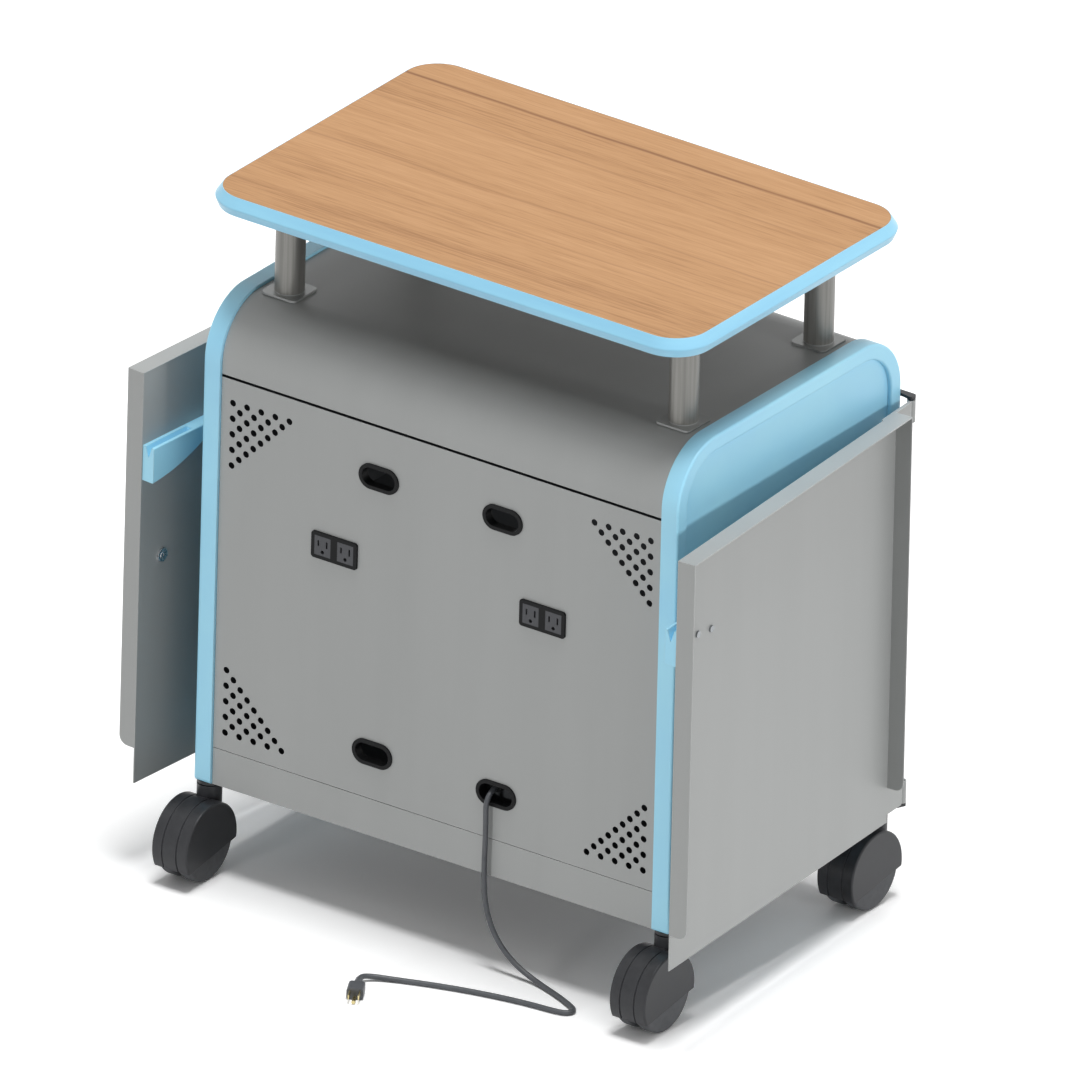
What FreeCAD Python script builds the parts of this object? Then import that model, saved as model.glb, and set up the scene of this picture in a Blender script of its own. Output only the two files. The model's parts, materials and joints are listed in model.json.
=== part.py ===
import FreeCAD, Part
import Sketcher
import math
import os
import re

os.makedirs("parts", exist_ok=True)
doc = FreeCAD.newDocument("presentation_cart")
sheet = doc.addObject("Spreadsheet::Sheet", "sizes")
V = FreeCAD.Vector

# Driving sizes in millimetres (angles in degrees): alias, value, what it is.
SIZES = [
    ("cabinetWidth", 720, "over the two end panels"),
    ("cabinetDepth", 476, "end panel, rear edge to front edge"),
    ("casterRise", 23, "underside of the cabinet above the wheels' tops"),
    ("endHeight", 656, "end panel height"),
    ("endThick", 25, "end panel thickness"),
    ("endCornerR", 80, "outer radius of the end panel's top corners"),
    ("endFootR", 4, "radius of its lower corners"),
    ("rimWide", 21, "raised rim round the outer recess"),
    ("recessDeep", 6, "outer recess"),
    ("hollowMargin", 26, "wall left round the inner hollow"),
    ("hollowDeep", 11, "inner hollow"),
    ("hollowFootR", 20, "lower corners of the recess and the hollow"),
    ("rimEase", 3, "rounding of the rim's edges"),
    ("sheetStep", 4, "steel skins lie this far inside the end profile"),
    ("steel", 1.5, "steel sheet thickness"),
    ("sideGap", 0.5, "gap between steel skins and end panels"),
    ("seamDrop", 15, "upper rear seam below the end of the panel's corner arc"),
    ("seamGap", 4, "width of that seam"),
    ("skirtTall", 50, "base skirt height"),
    ("skirtGap", 0.8, "joint between the base skirt and the rear panel"),
    ("lipReturn", 14, "inward return of the cover's and the rear panel's edges"),
    ("baseReturn", 25, "inward return of the base pan's lower edges"),
    ("frontClear", 6, "base front wall behind the shut door's folded edges"),
    ("channelWide", 70, "width of the channels under the cabinet floor"),
    ("channelSide", 2.5, "channel from the ends of the base pan"),
    ("channelWall", 2, "channel side wall"),
    ("channelFloor", 3, "channel floor"),
    ("channelPlay", 0.2, "channel below the cabinet floor"),
    ("shelfUp", 290, "shelf above the underside"),
    ("shelfLip", 20, "downward lip of the shelf"),
    ("shelfSide", 1, "shelf's side clearance"),
    ("shelfSet", 15, "shelf front behind the base front wall"),
    ("shelfClear", 4, "shelf rear in front of the wire duct"),
    ("clipReach", 14, "shelf clip beyond the end panel's inner face"),
    ("clipWide", 20, "shelf clip width"),
    ("clipTall", 12, "shelf clip height"),
    ("clipSet", 62, "shelf clip from the front and rear edges"),
    ("boardRise", 131, "board's underside above the end panels"),
    ("boardOver", 1, "board beyond each end panel"),
    ("boardBack", 1.5, "board inside the end panels' front and rear edges"),
    ("boardThick", 24, "board thickness"),
    ("boardCornerR", 46, "board corner radius"),
    ("bandOut", 9.5, "edge band projection at its ridge"),
    ("bandRidge", 13, "ridge of the edge band below the worktop"),
    ("bandSlope", 34, "lean of the band above its ridge"),
    ("bandUnder", 22, "lean of the band below its ridge"),
    ("bandNoseR", 2.5, "rounding of the ridge"),
    ("bandGap", 0.1, "glue gap between board and band"),
    ("postInset", 61, "post centre from the end panel's outer face"),
    ("postSet", 94, "post centre from the front and rear edges"),
    ("postDia", 38, "post tube diameter"),
    ("postWall", 2, "post tube wall"),
    ("footPlate", 52, "square foot plate"),
    ("headPlate", 90, "square head plate"),
    ("plateThick", 3, "post plate thickness"),
    ("plateCornerR", 7, "corner radius of the post plates"),
    ("postScrewOff", 33, "post screw from the tube's axis"),
    ("postScrewLong", 16, "post screw length"),
    ("screwR", 2.5, "screw radius"),
    ("screwPlay", 0.1, "play of a screw in its hole"),
    ("screwCapR", 4.5, "screw head radius"),
    ("screwCapTall", 2.5, "screw head height"),
    ("ventPitch", 21.4, "pitch of the vent rows"),
    ("ventDia", 9, "vent hole"),
    ("ventEdge", 17.2, "corner vent hole from the rear panel's side"),
    ("ventRise", 25.3, "lowest vent row above the base skirt"),
    ("ventDrop", 33.5, "highest vent row below the seam"),
    ("cutOver", 5, "cutters run this far past what they cut"),
    ("grommetX", 94, "cable opening from the middle"),
    ("grommetRise", 63, "lower cable openings above the base skirt"),
    ("grommetDrop", 70.5, "upper cable openings below the seam"),
    ("grommetLong", 60, "grommet flange length"),
    ("grommetTall", 34, "grommet flange height"),
    ("grommetWall", 5, "grommet flange width"),
    ("grommetProud", 2.5, "grommet flange thickness"),
    ("sleeveWall", 2, "grommet sleeve wall"),
    ("sleeveDeep", 9, "grommet sleeve behind the sheet"),
    ("sleevePlay", 0.2, "play of the sleeve in the sheet"),
    ("outletX", 158, "outlet module from the middle"),
    ("outletDrop", 187, "outlet module below the seam"),
    ("outletLong", 69, "outlet module length"),
    ("outletTall", 36, "outlet module height"),
    ("outletProud", 3, "outlet module in front of the panel"),
    ("outletCornerR", 4, "outlet flange corners"),
    ("outletLip", 3, "outlet flange round its opening"),
    ("outletPlay", 0.4, "play of the outlet case in its opening"),
    ("outletCaseR", 2, "corners of that opening"),
    ("outletDeep", 38, "outlet case behind the panel"),
    ("socketOff", 17.2, "socket from the module's middle"),
    ("slotApart", 12.6, "blade slots apart"),
    ("slotWide", 2.4, "blade slot width"),
    ("slotTall", 8, "live slot height"),
    ("slotTaller", 9.2, "neutral slot height"),
    ("slotUp", 3, "blade slots above the module's middle"),
    ("slotRound", 0.4, "corners of slots and blades"),
    ("slotDeep", 12, "slot depth"),
    ("earthR", 2.5, "earth hole radius"),
    ("earthDown", 8, "earth hole below the module's middle"),
    ("ductSize", 16, "square wire duct"),
    ("ductSet", 22, "duct behind the rear skin's outer face"),
    ("boxLong", 80, "junction box length"),
    ("boxDeep", 50, "junction box depth"),
    ("boxTall", 95, "junction box height"),
    ("glandR", 8, "cord gland radius"),
    ("glandLong", 8, "cord gland length"),
    ("cordDia", 7, "power cord diameter"),
    ("cordPlay", 0.5, "play of the cord in its gland"),
    ("cordSeat", 6, "cord's end inside the gland"),
    ("cordSide", 10, "cord beside the cable opening's middle"),
    ("cordLift", 3, "cord above the cable opening's middle"),
    ("reliefLong", 20, "plug's strain relief"),
    ("reliefWall", 1.2, "strain relief wall at the cord"),
    ("reliefLean", 4, "taper of the strain relief"),
    ("plugLong", 22, "plug body length"),
    ("plugWide", 21, "plug body width"),
    ("plugTall", 16, "plug body height"),
    ("plugRound", 4, "plug body corners"),
    ("bladeLong", 14, "plug blade length"),
    ("bladeThick", 1.6, "plug blade thickness"),
    ("bladeTall", 6.4, "plug blade height"),
    ("bladeUp", 2, "blades above the plug's axis"),
    ("earthPinR", 2.3, "earth pin radius"),
    ("earthPinDown", 4.5, "earth pin below the plug's axis"),
    ("hingeOut", 12, "hinge axis outside the end panel's face"),
    ("hingeAhead", 5, "right hinge axis ahead of the front edge"),
    ("lapClear", 1, "gap between the right door's face and the left door's folded edges"),
    ("rightAjar", 3.8, "right door stands off the side, in degrees"),
    ("leftAjar", 4.5, "left door stands off the side, in degrees"),
    ("doorFace", 3, "door face from the hinge axis"),
    ("doorEdge", 8, "door sheet begins at this distance from the axis"),
    ("doorStart", 42, "hinge-side fold from the axis"),
    ("doorLap", 182, "each door's free edge past the middle"),
    ("doorGap", 4, "door top below the seam"),
    ("doorDrop", 6, "door bottom below the underside"),
    ("doorFlange", 25, "depth of the door's folded edges"),
    ("flangeFoot", 48, "folded edges end this far above the door's bottom"),
    ("foldRound", 12, "rounding of the folds' lower ends"),
    ("knuckleR", 5.5, "hinge knuckle radius"),
    ("pinR", 3.5, "hinge pin radius"),
    ("runPlay", 0.05, "radial play of turning fits"),
    ("knuckleTall", 30, "hinge knuckle height"),
    ("knuckleGap", 0.5, "lower knuckle above its bracket"),
    ("pinShort", 2, "hinge pin short of the knuckle's far end"),
    ("tabThick", 3, "hinge tab thickness"),
    ("tabLong", 70, "hinge tab length from the axis"),
    ("lugThick", 4, "hinge bracket thickness"),
    ("lugIn", 36, "upper bracket inside the end panel"),
    ("lugDeep", 20, "upper bracket behind the cover's front lip"),
    ("lugClear", 1.5, "upper bracket clear of the end panel"),
    ("earWide", 8, "lower bracket's ear at the end panel"),
    ("earLeaf", 3, "lower bracket's upright leaf"),
    ("earTall", 40, "height of that leaf"),
    ("earDeep", 14, "depth of that leaf"),
    ("handleLong", 125, "handle length along the door"),
    ("handleTall", 48, "handle height at the free edge"),
    ("handleTip", 6, "handle height at its tip"),
    ("handleBow", 260, "radius of its lower edge"),
    ("handleDeep", 17.5, "handle depth"),
    ("handleEase", 1.5, "rounding of the handle's outer edges"),
    ("handleDown", 99, "handle top below the door top"),
    ("handleBack", 2, "handle end inside the free edge"),
    ("gripSet", 4, "finger groove from the door's face"),
    ("gripWide", 10, "finger groove width"),
    ("gripDeep", 16, "finger groove depth"),
    ("gripLong", 78, "finger groove length"),
    ("handleScrewIn", 48, "first handle screw from the free edge"),
    ("handleScrewStep", 32, "second screw beyond the first"),
    ("handleScrewDown", 20, "first handle screw below the handle's top"),
    ("handleScrewFall", 5, "second screw below the first"),
    ("handleScrewLong", 14, "handle screw length"),
    ("lockIn", 43, "lock from the free edge"),
    ("lockDown", 264, "lock below the door top"),
    ("lockR", 9, "lock cap radius"),
    ("lockCapTall", 2.5, "lock cap thickness"),
    ("barrelR", 7.5, "lock barrel radius"),
    ("barrelPlay", 0.1, "play of the barrel in the door"),
    ("coreR", 4.5, "lock core radius"),
    ("coreProud", 0.5, "lock core in front of its cap"),
    ("keyWide", 1.4, "keyway width"),
    ("keyTall", 6, "keyway height"),
    ("keyRound", 0.3, "keyway corners"),
    ("keyDeep", 10, "keyway depth"),
    ("camLong", 38, "lock cam reach"),
    ("camHalf", 7, "half of the cam's width"),
    ("camThick", 3, "cam thickness"),
    ("camGap", 1.5, "cam behind the barrel"),
    ("camRise", 5.5, "shut cam off the right door's face"),
    ("camPlay", 0.02, "play of the core in the cam"),
    ("keeperThick", 2, "keeper wall"),
    ("keeperPlay", 1, "keeper clear of the cam"),
    ("keeperFoot", 20, "keeper foot on the door"),
    ("keeperLip", 16, "keeper lip over the cam"),
    ("keeperTall", 20, "keeper height"),
    ("casterSet", 17, "swivel axis from the front and rear edges"),
    ("casterTrail", 30, "wheel axle behind the swivel axis"),
    ("wheelR", 50, "wheel radius"),
    ("wheelWide", 19.5, "one wheel's width"),
    ("wheelRound", 5, "tread edge rounding"),
    ("webHalf", 4, "half of the hood's middle web"),
    ("wheelSide", 0.5, "side clearance of a wheel"),
    ("hoodPlay", 1.5, "hood clear of the tread"),
    ("hoodWall", 2.5, "hood wall"),
    ("hoodRearFoot", 24, "hood's lower edge above the floor, trailing side"),
    ("hoodFrontFoot", 42, "hood's lower edge above the floor, leading side"),
    ("hoodBand", 19, "middle band of the hood"),
    ("hoodGroove", 2.5, "groove beside the band"),
    ("grooveDeep", 1.2, "depth of that groove"),
    ("axleR", 5, "wheel axle radius"),
    ("axleCover", 1, "hood wall left over the axle's ends"),
    ("axlePlay", 0.02, "play of the axle in the hood"),
    ("neckR", 16, "swivel neck radius"),
    ("swivelR", 6, "swivel pin radius"),
    ("swivelCover", 1, "hood left under the swivel pin"),
    ("neckGap", 1.5, "gap between neck and plate"),
    ("casterPlateThick", 4, "caster plate thickness"),
    ("casterPlateIn", 44, "caster plate inward of the swivel axis"),
    ("casterPlateFore", 50, "caster plate ahead of the swivel axis"),
    ("casterPlateAft", 4, "caster plate behind the swivel axis"),
    ("casterPlateR", 6, "caster plate corners"),
    ("boltIn", 34, "inner caster bolts inward of the swivel axis"),
    ("boltNear", 22, "first caster bolt ahead of the swivel axis"),
    ("boltFar", 40, "second caster bolt ahead of the swivel axis"),
    ("boltR", 3, "caster bolt radius"),
    ("boltPlay", 0.1, "play of a bolt in the plate"),
    ("boltBite", 14, "caster bolt above its plate"),
    ("boltCapR", 5, "caster bolt head radius"),
    ("boltCapTall", 4, "caster bolt head height"),
    ("turnNearLeft", 0, "swivel angle as photographed"),
    ("turnNearRight", 0, "swivel angle as photographed"),
    ("turnFarLeft", 0, "swivel angle, hidden in the photograph"),
    ("turnFarRight", 0, "swivel angle as photographed"),
]
for row, (alias, value, note) in enumerate(SIZES, start=1):
    sheet.set("A%d" % row, note)
    sheet.set("B%d" % row, str(value))
    sheet.setAlias("B%d" % row, alias)
doc.recompute()
ALIASES = {entry[0] for entry in SIZES}

# Levels and places that follow from the sizes above.
FOLLOWING = {
    "baseUnder": "2*wheelR+casterRise",
    "seamLevel": "endHeight-endCornerR-seamDrop",
    "coverTop": "baseUnder+endHeight-sheetStep",
    "floorTop": "baseUnder+skirtTall",
    "skinHalf": "cabinetWidth/2-endThick-sideGap",
    "skinY": "cabinetDepth/2-sheetStep",
    "bendR": "endCornerR-sheetStep",
    "lipZ": "baseUnder+seamLevel+seamGap/2",
    "endInner": "cabinetWidth/2-endThick",
    "panelLow": "floorTop+skirtGap",
    "panelHigh": "baseUnder+seamLevel-seamGap/2",
    "frontWall": "cabinetDepth/2-doorFlange-doorFace+hingeAhead-frontClear",
    "shelfZ": "baseUnder+shelfUp",
    "shelfRear": "-skinY+ductSet+ductSize+shelfClear",
    "shelfFront": "frontWall-shelfSet",
    "boardUnder": "baseUnder+endHeight+boardRise",
    "boardLong": "cabinetWidth+2*boardOver",
    "boardWide": "cabinetDepth-2*boardBack",
    "ridgeZ": "boardUnder+boardThick-bandRidge",
    "postX": "cabinetWidth/2-postInset",
    "postY": "cabinetDepth/2-postSet",
    "postTall": "boardUnder-coverTop-2*plateThick",
    "ventX": "skinHalf-ventEdge",
    "ventLow": "skirtTall+ventRise",
    "ventHigh": "seamLevel-ventDrop",
    "grommetLow": "baseUnder+skirtTall+grommetRise",
    "grommetHigh": "baseUnder+seamLevel-grommetDrop",
    "openA": "grommetLong/2-grommetWall",
    "openB": "grommetTall/2-grommetWall",
    "sleeveA": "openA+sleeveWall",
    "sleeveB": "openB+sleeveWall",
    "outletZ": "baseUnder+seamLevel-outletDrop",
    "caseA": "outletLong/2-outletLip",
    "caseB": "outletTall/2-outletLip",
    "ductY": "-skinY+ductSet",
    "glandX": "grommetX-cordSide",
    "glandY": "ductY-glandLong",
    "glandZ": "grommetLow+cordLift",
    "boxX": "glandX-boxLong/2",
    "hingeX": "cabinetWidth/2+hingeOut",
    "rightHingeY": "cabinetDepth/2+hingeAhead",
    "leftHingeY": "rightHingeY+lapStep",
    "lapStep": "doorFlange+lapClear",
    "doorReach": "hingeX+doorLap",
    "doorTop": "baseUnder+seamLevel-doorGap",
    "doorLow": "baseUnder-doorDrop",
    "foldLow": "doorLow+flangeFoot",
    "lowKnuckle": "baseUnder+lugThick+knuckleGap",
    "handleTop": "doorTop-handleDown",
    "handleEnd": "-doorReach+handleBack",
    "lockY": "-doorReach+lockIn",
    "lockZ": "doorTop-lockDown",
    "barrelLong": "lapStep-camGap-camThick-camRise",
    "keeperWall": "doorReach-lockIn-camLong-2*hingeX",
    "keeperOpen": "camRise+camThick+keeperPlay-keeperThick",
    "casterX": "cabinetWidth/2-endThick/2",
    "casterY": "cabinetDepth/2-casterSet",
    "plateUnder": "baseUnder-casterPlateThick",
    "neckTop": "plateUnder-neckGap",
    "hoodR": "wheelR+hoodPlay+hoodWall",
    "hoodHalf": "webHalf+2*wheelSide+wheelWide+hoodWall",
    "pinEnd": "wheelR+sqrt((wheelR+hoodPlay+swivelCover)^2-(casterTrail-swivelR)^2)",
}


def formula(text):
    def word(found):
        name = found.group(0)
        if name in FOLLOWING:
            return "(" + formula(FOLLOWING[name]) + ")"
        return "sizes." + name if name in ALIASES else name
    return re.sub(r"[A-Za-z_]\w*", word, text)


def size(text):
    value = sheet.evalExpression(formula(text))
    return float(getattr(value, "Value", value))


def bind(obj, **paths):
    for path, text in paths.items():
        obj.setExpression(path.replace("_", "."), formula(text))
    return obj


def place(obj, x="0", y="0", z="0", turn=None):
    bind(obj, Placement_Base_x=x, Placement_Base_y=y, Placement_Base_z=z)
    if turn is not None:
        obj.Placement.Rotation = FreeCAD.Rotation(V(0, 0, 1), 1)
        bind(obj, Placement_Rotation_Angle=turn)
    return obj


def box(name, length, width, height, x, y, z):
    piece = doc.addObject("Part::Box", name)
    bind(piece, Length=length, Width=width, Height=height)
    return place(piece, x, y, z)


def cylinder(name, radius, height, x, y, z, axis=None):
    piece = doc.addObject("Part::Cylinder", name)
    if axis is not None:
        piece.Placement.Rotation = FreeCAD.Rotation(V(0, 0, 1), axis)
    bind(piece, Radius=radius, Height=height)
    return place(piece, x, y, z)


def fuse(name, pieces):
    whole = doc.addObject("Part::MultiFuse", name)
    whole.Shapes = pieces
    return whole


def cut(name, base, tool):
    result = doc.addObject("Part::Cut", name)
    result.Base = base
    result.Tool = tool
    return result


def group(name, pieces):
    compound = doc.addObject("Part::Compound", name)
    compound.Links = pieces
    return compound


def mirrored(name, source, normal=V(1, 0, 0)):
    copy = doc.addObject("Part::Mirroring", name)
    copy.Source = source
    copy.Normal = normal
    return copy


# A corner is (x, y) after a straight run, or (x, y, radius, turn) after an arc that turns "left" or "right".
def loop(sketch, corners):
    first = sketch.GeometryCount
    count = len(corners)
    points = [V(size(c[0]), size(c[1]), 0) for c in corners]
    starts = []
    for i in range(count):
        a = points[i]
        b = points[(i + 1) % count]
        following = corners[(i + 1) % count]
        if len(following) == 2:
            sketch.addGeometry(Part.LineSegment(a, b), False)
            starts.append((1, 2))
            continue
        radius = size(following[2])
        left = following[3] == "left"
        chord = b.sub(a)
        bulge = radius - math.sqrt(radius * radius - chord.Length ** 2 / 4)
        outward = V(chord.y, -chord.x, 0).normalize() * (bulge if left else -bulge)
        sketch.addGeometry(Part.Arc(a, a.add(chord * 0.5).add(outward), b), False)
        starts.append((1, 2) if left else (2, 1))
    for i in range(count):
        here = first + i
        after = first + (i + 1) % count
        following = corners[(i + 1) % count]
        sketch.addConstraint(Sketcher.Constraint(
            "Coincident", here, starts[i][1], after, starts[(i + 1) % count][0]))
        for kind, text in (("DistanceX", corners[i][0]), ("DistanceY", corners[i][1])):
            index = sketch.addConstraint(Sketcher.Constraint(kind, -1, 1, here, starts[i][0], size(text)))
            sketch.setExpression("Constraints[%d]" % index, formula(text))
        if len(following) == 4:
            index = sketch.addConstraint(Sketcher.Constraint("Radius", here, size(following[2])))
            sketch.setExpression("Constraints[%d]" % index, formula(following[2]))


def circle(sketch, x, y, radius):
    here = sketch.addGeometry(Part.Circle(V(size(x), size(y), 0), V(0, 0, 1), size(radius)), False)
    for kind, text in (("DistanceX", x), ("DistanceY", y)):
        index = sketch.addConstraint(Sketcher.Constraint(kind, -1, 1, here, 3, size(text)))
        sketch.setExpression("Constraints[%d]" % index, formula(text))
    index = sketch.addConstraint(Sketcher.Constraint("Radius", here, size(radius)))
    sketch.setExpression("Constraints[%d]" % index, formula(radius))


def drawing(body, name, plane, offset, loops):
    sketch = body.newObject("Sketcher::SketchObject", name)
    face = next(f for f in body.Origin.OriginFeatures if f.Role == plane + "_Plane")
    sketch.AttachmentSupport = (face, [""])
    sketch.MapMode = "FlatFace"
    sketch.setExpression("AttachmentOffset.Base.z", formula(offset))
    for corners in loops:
        loop(sketch, corners)
    return sketch


def pad(body, name, sketch, length, back=False):
    feature = body.newObject("PartDesign::Pad", name)
    feature.Profile = sketch
    feature.Reversed = back
    bind(feature, Length=length)
    sketch.Visibility = False
    return feature


def pocket(body, name, sketch, length, back=False):
    feature = body.newObject("PartDesign::Pocket", name)
    feature.Profile = sketch
    feature.Reversed = back
    bind(feature, Length=length)
    return feature


def ease(body, name, feature, radius, wanted):
    doc.recompute()
    names = ["Edge%d" % (i + 1) for i, edge in enumerate(feature.Shape.Edges) if wanted(edge)]
    fillet = body.newObject("PartDesign::Fillet", name)
    fillet.Base = (feature, names)
    bind(fillet, Radius=radius)
    return fillet


def new_body(name):
    return doc.addObject("PartDesign::Body", name)


def rounded(a, b, r, x="0", y="0"):
    return [
        ("%s-(%s)+(%s)" % (x, a, r), "%s-(%s)" % (y, b), r, "left"),
        ("%s+(%s)-(%s)" % (x, a, r), "%s-(%s)" % (y, b)),
        ("%s+(%s)" % (x, a), "%s-(%s)+(%s)" % (y, b, r), r, "left"),
        ("%s+(%s)" % (x, a), "%s+(%s)-(%s)" % (y, b, r)),
        ("%s+(%s)-(%s)" % (x, a, r), "%s+(%s)" % (y, b), r, "left"),
        ("%s-(%s)+(%s)" % (x, a, r), "%s+(%s)" % (y, b)),
        ("%s-(%s)" % (x, a), "%s+(%s)-(%s)" % (y, b, r), r, "left"),
        ("%s-(%s)" % (x, a), "%s-(%s)+(%s)" % (y, b, r)),
    ]


def stadium(a, b, x="0", y="0"):
    return [
        ("%s-(%s)+(%s)" % (x, a, b), "%s-(%s)" % (y, b), b, "left"),
        ("%s+(%s)-(%s)" % (x, a, b), "%s-(%s)" % (y, b)),
        ("%s+(%s)" % (x, a), y, b, "left"),
        ("%s+(%s)-(%s)" % (x, a, b), "%s+(%s)" % (y, b), b, "left"),
        ("%s-(%s)+(%s)" % (x, a, b), "%s+(%s)" % (y, b)),
        ("%s-(%s)" % (x, a), y, b, "left"),
    ]


nodes = {}

# Worktop: board, bevelled edge band, posts and their screws.
board = new_body("worktop_board")
boardEdge = rounded("boardLong/2", "boardWide/2", "boardCornerR")
pad(board, "board_pad", drawing(board, "board_outline", "XY", "boardUnder", [boardEdge]), "boardThick")
nodes["worktop_board"] = board

band = new_body("worktop_edge_band")
bandInner = rounded("boardLong/2+bandGap", "boardWide/2+bandGap", "boardCornerR+bandGap")
bandRidgeLine = rounded("boardLong/2+bandOut", "boardWide/2+bandOut", "boardCornerR+bandOut")
bandAbove = pad(band, "band_above", drawing(band, "band_above_outline", "XY", "ridgeZ", [bandRidgeLine]),
                "bandRidge")
bind(bandAbove, TaperAngle="-bandSlope")
bandBelow = pad(band, "band_below", drawing(band, "band_below_outline", "XY", "ridgeZ", [bandRidgeLine]),
                "boardThick-bandRidge", back=True)
bind(bandBelow, TaperAngle="-bandUnder")


def on_ridge(edge):
    return edge.BoundBox.ZLength < 0.01 and abs(edge.BoundBox.ZMin - size("ridgeZ")) < 0.01


ease(band, "band_nose", bandBelow, "bandNoseR", on_ridge)
pocket(band, "band_seat", drawing(band, "band_seat_outline", "XY", "boardUnder", [bandInner]), "boardThick",
       back=True)
nodes["worktop_edge_band"] = band

postSites = {"near_left": ("-postX", "-postY"), "near_right": ("postX", "-postY"),
             "far_left": ("-postX", "postY"), "far_right": ("postX", "postY")}
screws = []
for site, (x, y) in postSites.items():
    tube = cylinder("post_tube_" + site, "postDia/2", "postTall", x, y, "coverTop+plateThick")
    bore = cylinder("post_bore_" + site, "postDia/2-postWall", "postTall", x, y, "coverTop+plateThick")
    foot = new_body("post_foot_" + site)
    footLoop = rounded("footPlate/2", "footPlate/2", "plateCornerR", x, y)
    pad(foot, "post_foot_pad_" + site,
        drawing(foot, "post_foot_outline_" + site, "XY", "coverTop", [footLoop]), "plateThick")
    head = new_body("post_head_" + site)
    headLoop = rounded("headPlate/2", "headPlate/2", "plateCornerR", x, y)
    headSketch = drawing(head, "post_head_outline_" + site, "XY", "boardUnder-plateThick", [headLoop])
    for sx in ("-", "+"):
        for sy in ("-", "+"):
            sideX = x + sx + "postScrewOff"
            sideY = y + sy + "postScrewOff"
            circle(headSketch, sideX, sideY, "screwR+screwPlay")
            shank = cylinder("post_screw_shank_%d" % len(screws), "screwR", "postScrewLong", sideX, sideY,
                             "boardUnder-plateThick")
            cap = cylinder("post_screw_cap_%d" % len(screws), "screwCapR", "screwCapTall", sideX, sideY,
                           "boardUnder-plateThick-screwCapTall")
            screws.append(fuse("post_screw_%d" % len(screws), [shank, cap]))
    pad(head, "post_head_pad_" + site, headSketch, "plateThick")
    nodes["post_" + site] = fuse("post_" + site, [cut("post_hollow_" + site, tube, bore), foot, head])
nodes["post_screws"] = group("post_screws", screws)

# Cabinet skins: wrap-over top cover, end panels, rear panel, base pan.
cover = new_body("top_cover")
coverProfile = [
    ("skinY-lipReturn", "lipZ"), ("skinY", "lipZ"), ("skinY", "coverTop-bendR"),
    ("skinY-bendR", "coverTop", "bendR", "left"), ("-skinY+bendR", "coverTop"),
    ("-skinY", "coverTop-bendR", "bendR", "left"), ("-skinY", "lipZ"), ("-skinY+lipReturn", "lipZ"),
    ("-skinY+lipReturn", "lipZ+steel"), ("-skinY+steel", "lipZ+steel"), ("-skinY+steel", "coverTop-bendR"),
    ("-skinY+bendR", "coverTop-steel", "bendR-steel", "right"), ("skinY-bendR", "coverTop-steel"),
    ("skinY-steel", "coverTop-bendR", "bendR-steel", "right"), ("skinY-steel", "lipZ+steel"),
    ("skinY-lipReturn", "lipZ+steel"),
]
pad(cover, "cover_pad", drawing(cover, "cover_profile", "YZ", "-skinHalf", [coverProfile]), "2*skinHalf")
nodes["top_cover"] = cover


def end_profile(inset, footR):
    half = "(cabinetDepth/2-(%s))" % inset
    low = "baseUnder+(%s)" % inset
    high = "baseUnder+endHeight-(%s)" % inset
    bend = "(endCornerR-(%s))" % inset
    return [
        ("-" + half + "+" + footR, low, footR, "left"), (half + "-" + footR, low),
        (half, low + "+" + footR, footR, "left"), (half, high + "-" + bend),
        (half + "-" + bend, high, bend, "left"), ("-" + half + "+" + bend, high),
        ("-" + half, high + "-" + bend, bend, "left"), ("-" + half, low + "+" + footR),
    ]


panel = new_body("right_end_panel")
pad(panel, "end_pad", drawing(panel, "end_outline", "YZ", "endInner", [end_profile("0", "endFootR")]),
    "endThick")
recess = drawing(panel, "end_recess_outline", "YZ", "cabinetWidth/2", [end_profile("rimWide", "hollowFootR")])
pocket(panel, "end_recess", recess, "recessDeep")
hollow = drawing(panel, "end_hollow_outline", "YZ", "endInner", [end_profile("hollowMargin", "hollowFootR")])
hollowCut = pocket(panel, "end_hollow", hollow, "hollowDeep", back=True)


def on_outer_rim(edge):
    return edge.BoundBox.XMin > size("cabinetWidth/2") - 0.01


ease(panel, "end_rim_ease", hollowCut, "rimEase", on_outer_rim)
nodes["right_end_panel"] = panel
nodes["left_end_panel"] = mirrored("left_end_panel", panel)

sheetBody = new_body("rear_sheet")
sheetLoop = [("-skinHalf", "panelLow"), ("skinHalf", "panelLow"),
             ("skinHalf", "panelHigh"), ("-skinHalf", "panelHigh")]
grommetSites = {"low_left": ("-grommetX", "grommetLow"), "low_right": ("grommetX", "grommetLow"),
                "high_left": ("-grommetX", "grommetHigh"), "high_right": ("grommetX", "grommetHigh")}
outletSites = {"left": ("-outletX", "outletZ"), "right": ("outletX", "outletZ")}
sheetCuts = [stadium("sleeveA+sleevePlay", "sleeveB+sleevePlay", x, z) for x, z in grommetSites.values()]
sheetCuts += [rounded("caseA", "caseB", "outletCaseR", x, z) for x, z in outletSites.values()]
sheetSketch = drawing(sheetBody, "rear_sheet_outline", "XZ", "skinY-steel", [sheetLoop] + sheetCuts)
pad(sheetBody, "rear_sheet_pad", sheetSketch, "steel")
returnTop = box("rear_top_return", "2*skinHalf", "lipReturn", "steel", "-skinHalf", "-skinY+steel",
                "panelHigh-steel")
returnLow = box("rear_low_return", "2*skinHalf", "lipReturn", "steel", "-skinHalf", "-skinY+steel",
                "panelLow")
sheetFolded = fuse("rear_sheet_folded", [sheetBody, returnTop, returnLow])
ventRows = (5, 4, 4, 3, 3, 2, 2, 1, 1)
vents = []
for level, count in enumerate(ventRows):
    for step in range(count):
        shift = step + (level % 2) / 2
        vents.append(cylinder("vent_%d_%d" % (level, step), "ventDia/2", "steel+2*cutOver",
                              "ventX-%g*ventPitch" % shift, "-skinY-cutOver",
                              "baseUnder+ventHigh-%g*ventPitch/2" % level, V(0, 1, 0)))
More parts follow.
